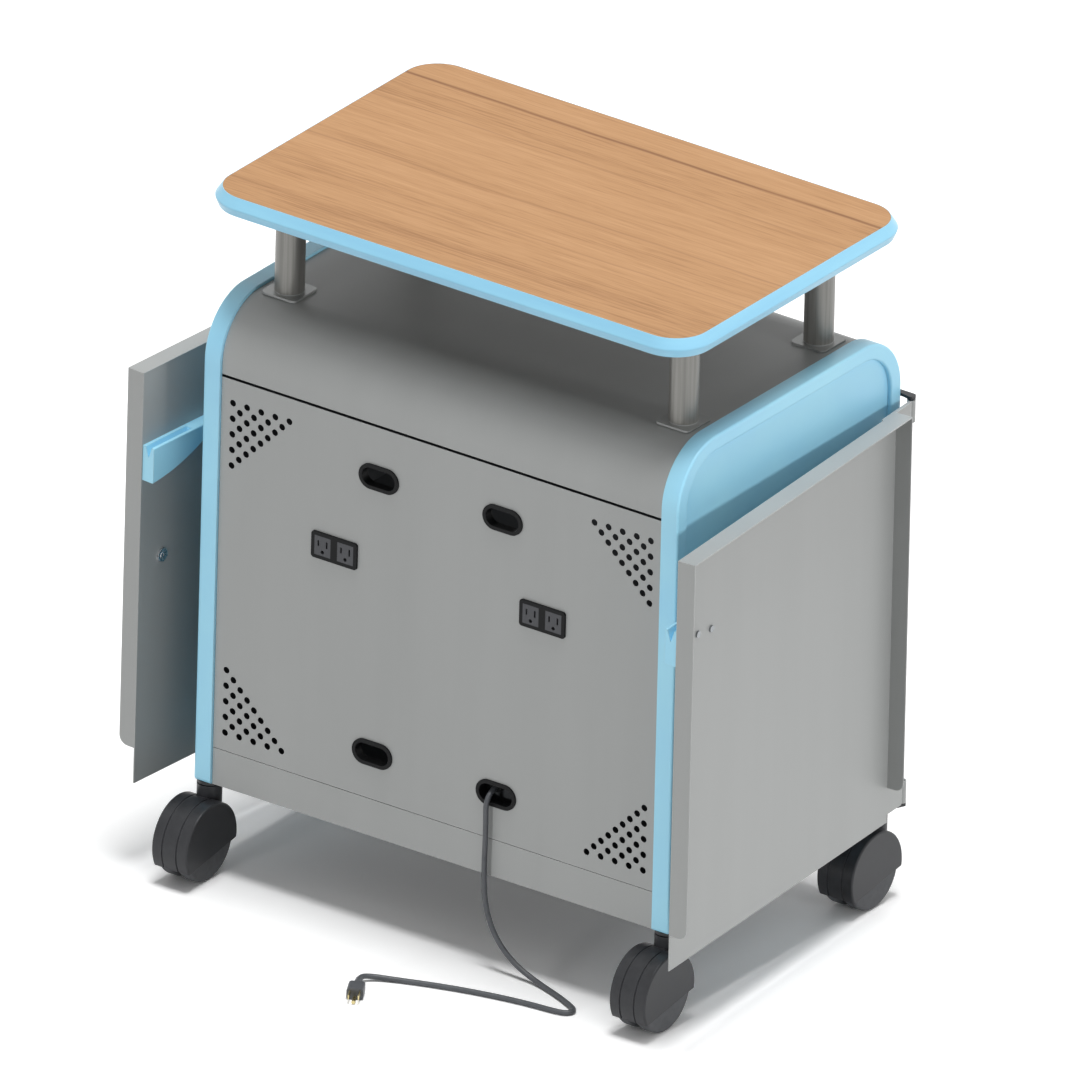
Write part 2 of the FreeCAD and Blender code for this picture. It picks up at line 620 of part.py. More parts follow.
ventRight = group("vents_upper_right", vents)
ventUpper = group("vents_upper", [ventRight, mirrored("vents_upper_left", ventRight)])
ventLower = mirrored("vents_lower", ventUpper, V(0, 0, 1))
bind(ventLower, Base_z="baseUnder+(ventLow+ventHigh)/2")
nodes["rear_panel"] = cut("rear_panel", sheetFolded, group("vents", [ventUpper, ventLower]))

base = new_body("base_pan")
baseProfile = [
    ("frontWall-baseReturn", "baseUnder"), ("frontWall", "baseUnder"), ("frontWall", "floorTop"),
    ("-skinY", "floorTop"), ("-skinY", "baseUnder"), ("-skinY+baseReturn", "baseUnder"),
    ("-skinY+baseReturn", "baseUnder+steel"), ("-skinY+steel", "baseUnder+steel"),
    ("-skinY+steel", "floorTop-steel"), ("frontWall-steel", "floorTop-steel"),
    ("frontWall-steel", "baseUnder+steel"), ("frontWall-baseReturn", "baseUnder+steel"),
]
pad(base, "base_pad", drawing(base, "base_profile", "YZ", "-skinHalf", [baseProfile]), "2*skinHalf")
nodes["base_pan"] = base

channelX = "skinHalf-channelSide-channelWide"
channelLong = "frontWall+skinY-4*steel"
channel = box("channel_block", "channelWide", channelLong, "skirtTall-2*steel-channelPlay", channelX,
              "-skinY+2*steel", "baseUnder+steel")
trough = box("channel_trough", "channelWide-2*channelWall", channelLong, "skirtTall",
             channelX + "+channelWall", "-skinY+2*steel", "baseUnder+steel+channelFloor")
nodes["caster_channel_right"] = cut("caster_channel_right", channel, trough)
nodes["caster_channel_left"] = mirrored("caster_channel_left", nodes["caster_channel_right"])

shelf = new_body("shelf")
shelfProfile = [
    ("shelfFront-steel", "shelfZ-shelfLip"), ("shelfFront", "shelfZ-shelfLip"), ("shelfFront", "shelfZ"),
    ("shelfRear", "shelfZ"), ("shelfRear", "shelfZ-shelfLip"), ("shelfRear+steel", "shelfZ-shelfLip"),
    ("shelfRear+steel", "shelfZ-steel"), ("shelfFront-steel", "shelfZ-steel"),
]
pad(shelf, "shelf_pad", drawing(shelf, "shelf_profile", "YZ", "-skinHalf+shelfSide", [shelfProfile]),
    "2*skinHalf-2*shelfSide")
nodes["shelf"] = shelf
clips = []
for index, y in enumerate(("-cabinetDepth/2+clipSet", "cabinetDepth/2-clipSet-clipWide")):
    clips.append(box("shelf_clip_right_%d" % index, "hollowDeep+clipReach", "clipWide", "clipTall",
                     "endInner-clipReach", y, "shelfZ-steel-clipTall"))
clipsRight = group("shelf_clips_right", clips)
nodes["shelf_clips"] = group("shelf_clips", [clipsRight, mirrored("shelf_clips_left", clipsRight)])

# Power: grommets, outlet modules, duct, junction box and cord gland.
grommets = []
for site, (x, z) in grommetSites.items():
    grommet = new_body("grommet_" + site)
    flange = [stadium("grommetLong/2", "grommetTall/2", x, z), stadium("openA", "openB", x, z)]
    pad(grommet, "grommet_flange_" + site, drawing(grommet, "grommet_face_" + site, "XZ", "skinY", flange),
        "grommetProud")
    sleeve = [stadium("sleeveA", "sleeveB", x, z), stadium("openA", "openB", x, z)]
    pad(grommet, "grommet_sleeve_" + site, drawing(grommet, "grommet_ring_" + site, "XZ", "skinY", sleeve),
        "steel+sleeveDeep", back=True)
    grommets.append(grommet)
nodes["cable_grommets"] = group("cable_grommets", grommets)

for side, (x, z) in outletSites.items():
    outlet = new_body("outlet_" + side)
    face = drawing(outlet, "outlet_face_" + side, "XZ", "skinY",
                   [rounded("outletLong/2", "outletTall/2", "outletCornerR", x, z)])
    pad(outlet, "outlet_front_" + side, face, "outletProud")
    rear = drawing(outlet, "outlet_case_" + side, "XZ", "skinY",
                   [rounded("caseA-outletPlay", "caseB-outletPlay", "outletCaseR-outletPlay", x, z)])
    pad(outlet, "outlet_body_" + side, rear, "outletDeep", back=True)
    slots = []
    for centre in (x + "-socketOff", x + "+socketOff"):
        slots.append(rounded("slotWide/2", "slotTall/2", "slotRound", centre + "-slotApart/2", z + "+slotUp"))
        slots.append(rounded("slotWide/2", "slotTaller/2", "slotRound", centre + "+slotApart/2",
                             z + "+slotUp"))
    slotSketch = drawing(outlet, "outlet_slots_" + side, "XZ", "skinY+outletProud", slots)
    for centre in (x + "-socketOff", x + "+socketOff"):
        circle(slotSketch, centre, z + "-earthDown", "earthR")
    pocket(outlet, "outlet_slot_cut_" + side, slotSketch, "slotDeep")
    nodes["outlet_" + side] = outlet

cross = box("duct_cross", "2*(outletX-caseA+outletPlay)", "ductSize", "ductSize",
            "-outletX+caseA-outletPlay", "ductY", "outletZ-ductSize/2")
riser = box("duct_riser", "ductSize", "ductSize", "outletZ-ductSize/2-floorTop-boxTall",
            "boxX+boxLong/2+ductSize/2", "ductY", "floorTop+boxTall")
nodes["wire_duct"] = fuse("wire_duct", [cross, riser])
nodes["junction_box"] = box("junction_box", "boxLong", "boxDeep", "boxTall", "boxX", "ductY", "floorTop")

glandCase = cylinder("gland_case", "glandR", "glandLong", "glandX", "glandY", "glandZ", V(0, 1, 0))
glandBore = cylinder("gland_bore", "cordDia/2+cordPlay", "glandLong", "glandX", "glandY", "glandZ",
                     V(0, 1, 0))
nodes["cord_gland"] = cut("cord_gland", glandCase, glandBore)

# Power cord: hand-chosen points, straight runs joined by tangent arcs, the floor runs half a diameter up.
cordR = size("cordDia/2")
gateX = size("glandX")
gateZ = size("glandZ")
wallY = size("-skinY")
plugUp = size("plugTall/2")
route = [
    V(gateX, size("glandY+cordSeat"), gateZ),
    V(gateX, wallY - 9, gateZ - 1),
    V(gateX + 2, wallY - 9.5, gateZ - 52),
    V(gateX, wallY - 9, gateZ - 108),
    V(gateX + 4, wallY - 9.5, gateZ - 158),
    V(gateX + 22, wallY - 9, 42),
    V(gateX + 52, wallY - 8.5, 16),
    V(gateX + 88, wallY - 10, cordR),
    V(gateX + 127.5, wallY - 24.4, cordR),
    V(gateX + 154.7, wallY - 37, cordR),
    V(gateX + 167.4, wallY - 45, cordR),
    V(gateX + 165.1, wallY - 57.8, cordR),
    V(gateX + 144.6, wallY - 62.2, cordR),
    V(gateX + 115.7, wallY - 64.2, cordR),
    V(gateX + 75.2, wallY - 70.6, cordR),
    V(gateX + 29.4, wallY - 81.2, cordR),
    V(gateX - 16.5, wallY - 95.2, cordR),
    V(gateX - 58.7, wallY - 111, cordR),
    V(gateX - 84, wallY - 124, (cordR + plugUp) / 2),
    V(gateX - 93, wallY - 137, plugUp),
    V(gateX - 88.2, wallY - 146, plugUp),
]


def tube_along(points, radius):
    edges = []
    length = 0
    last = points[0]
    for i in range(1, len(points) - 1):
        into = points[i].sub(points[i - 1])
        out = points[i + 1].sub(points[i])
        turn = into.getAngle(out)
        reach = 0.45 * min(into.Length, out.Length)
        bend = reach / math.tan(turn / 2)
        print("cord bend %d: turn %.1f deg, radius %.1f mm" % (i, math.degrees(turn), bend))
        a = points[i].sub(V(into).normalize() * reach)
        b = points[i].add(V(out).normalize() * reach)
        inward = V(out).normalize().sub(V(into).normalize()).normalize()
        middle = points[i].add(inward * (bend / math.cos(turn / 2) - bend))
        edges.append(Part.LineSegment(last, a).toShape())
        edges.append(Part.Arc(a, middle, b).toShape())
        length += last.sub(a).Length + bend * turn
        last = b
    edges.append(Part.LineSegment(last, points[-1]).toShape())
    length += last.sub(points[-1]).Length
    spine = Part.Wire(edges)
    ring = Part.Wire(Part.Circle(points[0], points[1].sub(points[0]), radius).toShape())
    solid = spine.makePipeShell([ring], True, False)
    ratio = solid.Volume / (math.pi * radius * radius * length)
    print("cord length %.0f mm, volume over section times length %.4f" % (length, ratio))
    return solid


cord = doc.addObject("Part::Feature", "power_cord")
cord.Shape = tube_along(route, cordR)
nodes["power_cord"] = cord

plugAim = math.degrees(math.atan2(route[-1].y - route[-2].y, route[-1].x - route[-2].x))
plug = new_body("plug_body")
reliefSketch = drawing(plug, "plug_relief_outline", "YZ", "0", [])
circle(reliefSketch, "0", "0", "cordDia/2+reliefWall")
relief = pad(plug, "plug_relief", reliefSketch, "reliefLong")
bind(relief, TaperAngle="reliefLean")
case = drawing(plug, "plug_case_outline", "YZ", "reliefLong",
               [rounded("plugWide/2", "plugTall/2", "plugRound")])
pad(plug, "plug_case", case, "plugLong")
plug.Placement = FreeCAD.Placement(route[-1], FreeCAD.Rotation(V(0, 0, 1), plugAim))
nodes["plug_body"] = plug
bladePads = []
for index, y in enumerate(("-slotApart/2", "slotApart/2", "0")):
    blade = new_body("plug_blade_%d" % index)
    bladeSketch = drawing(blade, "plug_blade_outline_%d" % index, "YZ", "reliefLong+plugLong", [])
    if y == "0":
        circle(bladeSketch, y, "-earthPinDown", "earthPinR")
    else:
        loop(bladeSketch, rounded("bladeThick/2", "bladeTall/2", "slotRound", y, "bladeUp"))
    pad(blade, "plug_blade_pad_%d" % index, bladeSketch, "bladeLong")
    blade.Placement = plug.Placement
    bladePads.append(blade)
nodes["plug_blades"] = group("plug_blades", bladePads)

# Doors in the hinge's own frame: the axis is local Z and the open leaf runs along local -Y.
hingeSites = {"right": ("(1)", "hingeX", "rightHingeY", "rightAjar"),
              "left": ("(-1)", "-hingeX", "leftHingeY", "-leftAjar")}


def block(sign, x1, x2, y1, y2):
    return [("%s*(%s)" % (sign, x1), y1), ("%s*(%s)" % (sign, x2), y1),
            ("%s*(%s)" % (sign, x2), y2), ("%s*(%s)" % (sign, x1), y2)]


for side, (sign, axisX, axisY, ajar) in hingeSites.items():
    turn = "left" if side == "right" else "right"
    door = new_body(side + "_door")
    leaf = block(sign, "doorFace", "doorFace+steel", "-doorReach", "-doorStart")
    pad(door, side + "_leaf", drawing(door, side + "_leaf_outline", "XY", "doorLow", [leaf]),
        "doorTop-doorLow")
    strip = block(sign, "doorFace", "doorFace+steel", "-doorStart", "-doorEdge")
    pad(door, side + "_strip", drawing(door, side + "_strip_outline", "XY", "lowKnuckle", [strip]),
        "doorTop-lowKnuckle")
    foldOutline = [
        ("%s*doorFace" % sign, "foldLow"), ("%s*(doorFace+doorFlange-foldRound)" % sign, "foldLow"),
        ("%s*(doorFace+doorFlange)" % sign, "foldLow+foldRound", "foldRound", turn),
        ("%s*(doorFace+doorFlange)" % sign, "doorTop"), ("%s*doorFace" % sign, "doorTop"),
    ]
    for index, away in enumerate(("doorReach", "doorStart+steel")):
        foldSketch = drawing(door, "%s_fold_outline_%d" % (side, index), "XZ", away, [foldOutline])
        pad(door, "%s_fold_%d" % (side, index), foldSketch, "steel", back=True)
    head = block(sign, "doorFace", "doorFace+doorFlange", "-doorReach", "-doorStart")
    pad(door, side + "_head_fold", drawing(door, side + "_head_outline", "XY", "doorTop-steel", [head]),
        "steel")
    tab = block(sign, "doorFace-tabThick", "doorFace", "-tabLong", "0")
    for level, z in (("top", "doorTop-knuckleTall"), ("low", "lowKnuckle")):
        pad(door, "%s_tab_%s" % (side, level),
            drawing(door, "%s_tab_outline_%s" % (side, level), "XY", z, [tab]), "knuckleTall")
        knuckle = drawing(door, "%s_knuckle_outline_%s" % (side, level), "XY", z, [])
        circle(knuckle, "0", "0", "knuckleR")
        pad(door, "%s_knuckle_%s" % (side, level), knuckle, "knuckleTall")
        bore = drawing(door, "%s_knuckle_bore_%s" % (side, level), "XY", z, [])
        circle(bore, "0", "0", "pinR+runPlay")
        pocket(door, "%s_knuckle_hole_%s" % (side, level), bore, "knuckleTall", back=True)
    if side == "left":
        lockHole = drawing(door, "lock_hole_outline", "YZ", "-doorFace-steel", [])
        circle(lockHole, "lockY", "lockZ", "barrelR+barrelPlay")
        pocket(door, "lock_hole", lockHole, "steel", back=True)
    place(door, axisX, axisY, "0", ajar)
    nodes[side + "_door"] = door

    handle = new_body(side + "_handle")
    outline = [("handleEnd", "handleTop"), ("handleEnd", "handleTop-handleTall"),
               ("handleEnd+handleLong", "handleTop-handleTip", "handleBow", "left"),
               ("handleEnd+handleLong", "handleTop")]
    outer = "doorFace-handleDeep" if side == "right" else "-doorFace"
    handlePad = pad(handle, side + "_handle_pad",
                    drawing(handle, side + "_handle_outline", "YZ", outer, [outline]), "handleDeep")

    def on_handle_face(edge):
        along = edge.BoundBox.XLength < 0.01 and edge.BoundBox.YLength > 0.01
        return along and abs(abs(edge.BoundBox.XMin) - abs(size("doorFace-handleDeep"))) < 0.01

    ease(handle, side + "_handle_ease", handlePad, "handleEase", on_handle_face)
    groove = [("%s*(doorFace-gripSet)" % sign, "handleTop"),
              ("%s*(doorFace-gripSet-gripWide)" % sign, "handleTop"),
              ("%s*(doorFace-gripSet-gripWide/2)" % sign, "handleTop-gripDeep")]
    pocket(handle, side + "_handle_groove",
           drawing(handle, side + "_groove_outline", "XZ", "-handleEnd", [groove]), "gripLong")
    place(handle, axisX, axisY, "0", ajar)
    nodes[side + "_handle"] = handle

    fixings = []
    start = "doorFace+steel" if side == "right" else "-doorFace-steel"
    screwSites = (("handleScrewIn", "handleScrewDown"),
                  ("handleScrewIn+handleScrewStep", "handleScrewDown+handleScrewFall"))
    for index, (inset, drop) in enumerate(screwSites):
        screw = new_body("%s_handle_screw_%d" % (side, index))
        y = "-doorReach+" + inset
        z = "handleTop-(%s)" % drop
        cap = drawing(screw, "%s_screw_cap_%d" % (side, index), "YZ", start, [])
        circle(cap, y, z, "screwCapR")
        pad(screw, "%s_screw_head_%d" % (side, index), cap, "screwCapTall", back=side == "left")
        stem = drawing(screw, "%s_screw_stem_%d" % (side, index), "YZ", start, [])
        circle(stem, y, z, "screwR")
        pad(screw, "%s_screw_shank_%d" % (side, index), stem, "handleScrewLong", back=side == "right")
        place(screw, axisX, axisY, "0", ajar)
        fixings.append(screw)
    nodes[side + "_handle_screws"] = group(side + "_handle_screws", fixings)

# Lock on the left door, keeper on the right door.
barrel = new_body("lock_barrel")
barrelCap = drawing(barrel, "barrel_cap_outline", "YZ", "-doorFace", [])
circle(barrelCap, "lockY", "lockZ", "lockR")
pad(barrel, "barrel_cap", barrelCap, "lockCapTall")
barrelStem = drawing(barrel, "barrel_stem_outline", "YZ", "-doorFace", [])
circle(barrelStem, "lockY", "lockZ", "barrelR")
pad(barrel, "barrel_stem", barrelStem, "barrelLong", back=True)
barrelBore = drawing(barrel, "barrel_bore_outline", "YZ", "-doorFace+lockCapTall", [])
circle(barrelBore, "lockY", "lockZ", "coreR+runPlay")
pocket(barrel, "barrel_bore", barrelBore, "lockCapTall+barrelLong")
core = new_body("lock_core")
coreFront = "-doorFace+lockCapTall+coreProud"
coreFace = drawing(core, "core_outline", "YZ", coreFront, [])
circle(coreFace, "lockY", "lockZ", "coreR")
pad(core, "core_rod", coreFace, "coreProud+lockCapTall+barrelLong+camGap+camThick", back=True)
keyLoop = rounded("keyWide/2", "keyTall/2", "keyRound", "lockY", "lockZ")
keyway = drawing(core, "keyway_outline", "YZ", coreFront, [keyLoop])
pocket(core, "keyway", keyway, "keyDeep")
cam = new_body("lock_cam")
camLoop = [("lockY+camHalf", "lockZ-camLong+camHalf", "camHalf", "left"), ("lockY+camHalf", "lockZ"),
           ("lockY", "lockZ+camHalf", "camHalf", "left"), ("lockY-camHalf", "lockZ", "camHalf", "left"),
           ("lockY-camHalf", "lockZ-camLong+camHalf"), ("lockY", "lockZ-camLong", "camHalf", "left")]
camSketch = drawing(cam, "cam_outline", "YZ", "-doorFace-barrelLong-camGap", [camLoop])
circle(camSketch, "lockY", "lockZ", "coreR+camPlay")
pad(cam, "cam_plate", camSketch, "camThick", back=True)
for name, piece in (("lock_barrel", barrel), ("lock_core", core), ("lock_cam", cam)):
    place(piece, *hingeSites["left"][1:3], "0", hingeSites["left"][3])
    nodes[name] = piece

keeper = new_body("lock_keeper")
keeperOut = "doorFace-2*keeperThick-keeperOpen"
keeperLoop = [
    ("doorFace", "keeperWall-keeperPlay-keeperThick"), ("doorFace", "keeperWall+keeperFoot"),
    ("doorFace-keeperThick", "keeperWall+keeperFoot"), ("doorFace-keeperThick", "keeperWall-keeperPlay"),
    (keeperOut + "+keeperThick", "keeperWall-keeperPlay"),
    (keeperOut + "+keeperThick", "keeperWall+keeperLip"),
    (keeperOut, "keeperWall+keeperLip"), (keeperOut, "keeperWall-keeperPlay-keeperThick"),
]
pad(keeper, "keeper_pad", drawing(keeper, "keeper_outline", "XY", "lockZ-keeperTall/2", [keeperLoop]),
    "keeperTall")
place(keeper, *hingeSites["right"][1:3], "0", hingeSites["right"][3])
nodes["lock_keeper"] = keeper

# Hinge brackets with their welded pins: a plate under the cover's lip, an angle on the end panel's rim.
for side, (sign, axisX, axisY, ajar) in hingeSites.items():
    turn = "left" if side == "right" else "right"
    topLoop = [
        ("%s*(skinHalf-lugIn)" % sign, "skinY-lugDeep"), ("%s*(skinHalf-lugClear)" % sign, "skinY-lugDeep"),
        ("%s*(skinHalf-lugClear)" % sign, "cabinetDepth/2+lugClear"),
        ("%s*(cabinetWidth/2+lugClear)" % sign, "cabinetDepth/2+lugClear"),
        ("%s*hingeX" % sign, axisY + "-knuckleR"), ("%s*(hingeX+knuckleR)" % sign, axisY, "knuckleR", turn),
        ("%s*hingeX" % sign, axisY + "+knuckleR", "knuckleR", turn),
        ("%s*(cabinetWidth/2-earWide)" % sign, axisY + "+knuckleR"),
        ("%s*(skinHalf-lugIn)" % sign, "skinY-sheetStep"),
    ]
    topPlate = new_body(side + "_top_plate")
    pad(topPlate, side + "_top_plate_pad",
        drawing(topPlate, side + "_top_plate_outline", "XY", "lipZ-lugThick", [topLoop]), "lugThick")
    topPin = cylinder(side + "_top_pin", "pinR", "lipZ-doorTop+knuckleTall-pinShort", axisX, axisY,
                      "doorTop-knuckleTall+pinShort")
    nodes[side + "_top_bracket"] = fuse(side + "_top_bracket", [topPlate, topPin])
    lowLoop = [
        ("%s*cabinetWidth/2" % sign, "cabinetDepth/2-rimEase-earDeep"),
        ("%s*(cabinetWidth/2+earWide)" % sign, "cabinetDepth/2-rimEase-earDeep"),
        ("%s*(hingeX+knuckleR)" % sign, axisY), ("%s*hingeX" % sign, axisY + "+knuckleR", "knuckleR", turn),
        ("%s*(hingeX-knuckleR)" % sign, axisY, "knuckleR", turn),
        ("%s*cabinetWidth/2" % sign, "cabinetDepth/2-rimEase"),
    ]
    lowPlate = new_body(side + "_low_plate")
    pad(lowPlate, side + "_low_plate_pad",
        drawing(lowPlate, side + "_low_plate_outline", "XY", "baseUnder", [lowLoop]), "lugThick")
    leafX = "cabinetWidth/2" if side == "right" else "-cabinetWidth/2-earLeaf"
    upright = box(side + "_low_leaf", "earLeaf", "earDeep", "earTall", leafX,
                  "cabinetDepth/2-rimEase-earDeep", "baseUnder")
    lowPin = cylinder(side + "_low_pin", "pinR", "lugThick+knuckleGap+knuckleTall-pinShort", axisX, axisY,
                      "baseUnder")
    nodes[side + "_low_bracket"] = fuse(side + "_low_bracket", [lowPlate, upright, lowPin])

# Casters in the swivel's own frame: the swivel axis is local Z and the wheels trail along local -Y.
casterSites = {
    "near_left": ("-casterX", "-casterY", "(-1)", "(1)", "turnNearLeft"),
    "near_right": ("casterX", "-casterY", "(1)", "(1)", "turnNearRight"),
    "far_left": ("-casterX", "casterY", "(-1)", "(-1)", "turnFarLeft"),
    "far_right": ("casterX", "casterY", "(1)", "(-1)", "turnFarRight"),
}
hub = "-casterTrail"
hoodCheek = "hoodHalf-hoodBand/2-hoodGroove"
hoodRings = (("core", "-hoodHalf", "2*hoodHalf", "hoodR-grooveDeep"),
             ("band", "-hoodBand/2", "hoodBand", "hoodR"),
             ("outer", "hoodBand/2+hoodGroove", hoodCheek, "hoodR"),
             ("inner", "-hoodHalf", hoodCheek, "hoodR"))
hoodFoot = [(hub + "-hoodR", "wheelR-hoodR-cutOver"), (hub + "+hoodR", "wheelR-hoodR-cutOver"),
            (hub + "+hoodR", "hoodFrontFoot"), (hub + "-hoodR", "hoodRearFoot")]


def on_hood_rim(edge):
    side = edge.BoundBox.XLength < 0.01 and abs(abs(edge.BoundBox.XMin) - size("hoodHalf")) < 0.01
    return side and edge.Curve.TypeId == "Part::GeomCircle"


bolts = []
for site, (x, y, outward, forward, turn) in casterSites.items():
    plate = new_body("caster_plate_" + site)
    plateHalf = "(casterPlateIn+endThick/2)/2"
    plateDeep = "(casterPlateFore+casterPlateAft)/2"
    plateLoop = rounded(plateHalf, plateDeep, "casterPlateR", "%s*(endThick/2-casterPlateIn)/2" % outward,
                        "%s*(casterPlateFore-casterPlateAft)/2" % forward)
    plateSketch = drawing(plate, "caster_plate_outline_" + site, "XY", "plateUnder", [plateLoop])
    for inward, ahead in (("0", "boltFar"), ("boltIn", "boltNear"), ("boltIn", "boltFar")):
        boltX = "-%s*%s" % (outward, inward)
        boltY = "%s*%s" % (forward, ahead)
        circle(plateSketch, boltX, boltY, "boltR+boltPlay")
        shank = cylinder("caster_bolt_shank_%d" % len(bolts), "boltR", "casterPlateThick+boltBite",
                         x + "+" + boltX, y + "+" + boltY, "plateUnder")
        cap = cylinder("caster_bolt_cap_%d" % len(bolts), "boltCapR", "boltCapTall", x + "+" + boltX,
                       y + "+" + boltY, "plateUnder-boltCapTall")
        bolts.append(fuse("caster_bolt_%d" % len(bolts), [shank, cap]))
    pad(plate, "caster_plate_pad_" + site, plateSketch, "casterPlateThick")
    nose = drawing(plate, "caster_nose_outline_" + site, "XY", "plateUnder", [])
    circle(nose, "0", "0", "neckR")
    pad(plate, "caster_nose_" + site, nose, "casterPlateThick")
    swivel = drawing(plate, "caster_swivel_outline_" + site, "XY", "plateUnder", [])
    circle(swivel, "0", "0", "swivelR")
    pad(plate, "caster_swivel_" + site, swivel, "plateUnder-pinEnd", back=True)
    place(plate, x, y)
    nodes["caster_plate_" + site] = plate

    hood = new_body("caster_hood_" + site)
    for ring, start, width, radius in hoodRings:
        ringSketch = drawing(hood, "hood_%s_outline_%s" % (ring, site), "YZ", start, [])
        circle(ringSketch, hub, "wheelR", radius)
        pad(hood, "hood_%s_%s" % (ring, site), ringSketch, width)
    neck = drawing(hood, "hood_neck_outline_" + site, "XY", "wheelR", [])
    circle(neck, "0", "0", "neckR")
    hoodNeck = pad(hood, "hood_neck_" + site, neck, "neckTop-wheelR")
    ease(hood, "hood_rim_ease_" + site, hoodNeck, "hoodWall", on_hood_rim)
    footSketch = drawing(hood, "hood_foot_outline_" + site, "YZ", "-hoodHalf", [hoodFoot])
    pocket(hood, "hood_foot_" + site, footSketch, "2*hoodHalf", back=True)
    for way, start in (("outer", "webHalf"), ("inner", "-webHalf")):
        space = drawing(hood, "hood_wheel_space_%s_%s" % (way, site), "YZ", start, [])
        circle(space, hub, "wheelR", "wheelR+hoodPlay")
        pocket(hood, "hood_wheel_cut_%s_%s" % (way, site), space, "wheelWide+2*wheelSide",
               back=way == "outer")
    swivelBore = drawing(hood, "hood_bore_outline_" + site, "XY", "neckTop", [])
    circle(swivelBore, "0", "0", "swivelR+runPlay")
    pocket(hood, "hood_bore_" + site, swivelBore, "neckTop-pinEnd+swivelCover/2")
    axleBore = drawing(hood, "hood_axle_outline_" + site, "YZ", "-hoodHalf+axleCover", [])
    circle(axleBore, hub, "wheelR", "axleR+axlePlay")
    pocket(hood, "hood_axle_bore_" + site, axleBore, "2*(hoodHalf-axleCover)", back=True)
    place(hood, x, y, "0", turn)
    nodes["caster_hood_" + site] = hood

    axle = new_body("caster_axle_" + site)
    rod = drawing(axle, "axle_outline_" + site, "YZ", "-hoodHalf+axleCover+runPlay", [])
    circle(rod, hub, "wheelR", "axleR")
    pad(axle, "axle_rod_" + site, rod, "2*(hoodHalf-axleCover-runPlay)")
    place(axle, x, y, "0", turn)
    nodes["caster_axle_" + site] = axle

    wheels = []
    for way, sign in (("outer", "(1)"), ("inner", "(-1)")):
        wheel = new_body("wheel_%s_%s" % (way, site))
        first = "%s*(webHalf+wheelSide)" % sign
        last = "%s*(webHalf+wheelSide+wheelWide)" % sign
        bend = "left" if way == "outer" else "right"
        tread = [
            (first, "axleR+runPlay"), (last, "axleR+runPlay"), (last, "wheelR-wheelRound"),
            ("%s-%s*wheelRound" % (last, sign), "wheelR", "wheelRound", bend),
            ("%s+%s*wheelRound" % (first, sign), "wheelR"),
            (first, "wheelR-wheelRound", "wheelRound", bend),
        ]
        section = drawing(wheel, "wheel_section_%s_%s" % (way, site), "XY", "0", [tread])
        spun = wheel.newObject("PartDesign::Revolution", "wheel_turn_%s_%s" % (way, site))
        spun.Profile = section
        spun.ReferenceAxis = (section, ["H_Axis"])
        spun.Angle = 360
        place(wheel, x + "+casterTrail*sin(" + turn + ")", y + "-casterTrail*cos(" + turn + ")", "wheelR",
              turn)
        wheels.append(wheel)
    nodes["caster_wheels_" + site] = group("caster_wheels_" + site, wheels)
nodes["caster_bolts"] = group("caster_bolts", bolts)

# Check every object, then write one file per piece.
doc.recompute()
for obj in doc.Objects:
    shape = getattr(obj, "Shape", None)
    if "Invalid" in obj.State or "Error" in obj.State:
        raise RuntimeError("%s is in state %s" % (obj.Name, obj.State))
    if shape is not None and not shape.isNull() and not shape.isValid():
        raise RuntimeError("%s has an invalid shape" % obj.Name)
# The shared frame: the origin is below the middle of everything but the cord, on the floor.
looseNodes = ("power_cord", "plug_body", "plug_blades")
standing = Part.makeCompound([piece.Shape for name, piece in nodes.items() if name not in looseNodes])
reach = standing.optimalBoundingBox(False, False)
shift = V(-(reach.XMin + reach.XMax) / 2, -(reach.YMin + reach.YMax) / 2, -reach.ZMin)
print("frame shift %.4f %.4f %.4f mm" % (shift.x, shift.y, shift.z))
for name, piece in nodes.items():
    if piece.Shape.isNull() or piece.Shape.Volume <= 0:
        raise RuntimeError("%s is empty" % name)
    piece.Shape.translated(shift).exportStep("parts/%s.step" % name)
print("pieces", len(nodes), "sizes", len(SIZES))
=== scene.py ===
import bpy
import json
import math
from mathutils import Matrix, Vector


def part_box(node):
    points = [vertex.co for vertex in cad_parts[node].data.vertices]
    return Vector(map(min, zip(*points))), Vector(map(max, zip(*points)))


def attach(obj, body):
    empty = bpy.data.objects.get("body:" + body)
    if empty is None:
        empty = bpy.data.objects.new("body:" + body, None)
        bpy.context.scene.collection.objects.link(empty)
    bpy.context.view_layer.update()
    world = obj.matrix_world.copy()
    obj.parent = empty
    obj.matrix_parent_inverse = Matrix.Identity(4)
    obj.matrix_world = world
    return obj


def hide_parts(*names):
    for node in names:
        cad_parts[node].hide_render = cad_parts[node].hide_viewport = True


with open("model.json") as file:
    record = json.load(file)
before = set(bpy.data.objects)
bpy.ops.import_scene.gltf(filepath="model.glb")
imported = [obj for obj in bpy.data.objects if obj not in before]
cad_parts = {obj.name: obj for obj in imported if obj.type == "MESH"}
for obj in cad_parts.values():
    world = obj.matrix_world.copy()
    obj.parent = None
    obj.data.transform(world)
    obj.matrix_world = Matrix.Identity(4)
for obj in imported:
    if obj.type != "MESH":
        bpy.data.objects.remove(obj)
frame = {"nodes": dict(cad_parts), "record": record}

scene = bpy.context.scene
scene.view_settings.view_transform = "Standard"
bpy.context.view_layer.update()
nodes = frame["nodes"]
mm = 0.001
print("frame loaded:", len(nodes), "CAD nodes")

# a Mix node's sockets go by number: its share, two plain values, two colours, and what comes out
share, valueA, valueB, colourA, colourB = 0, 2, 3, 6, 7
mixedValue, mixedColour = 0, 2


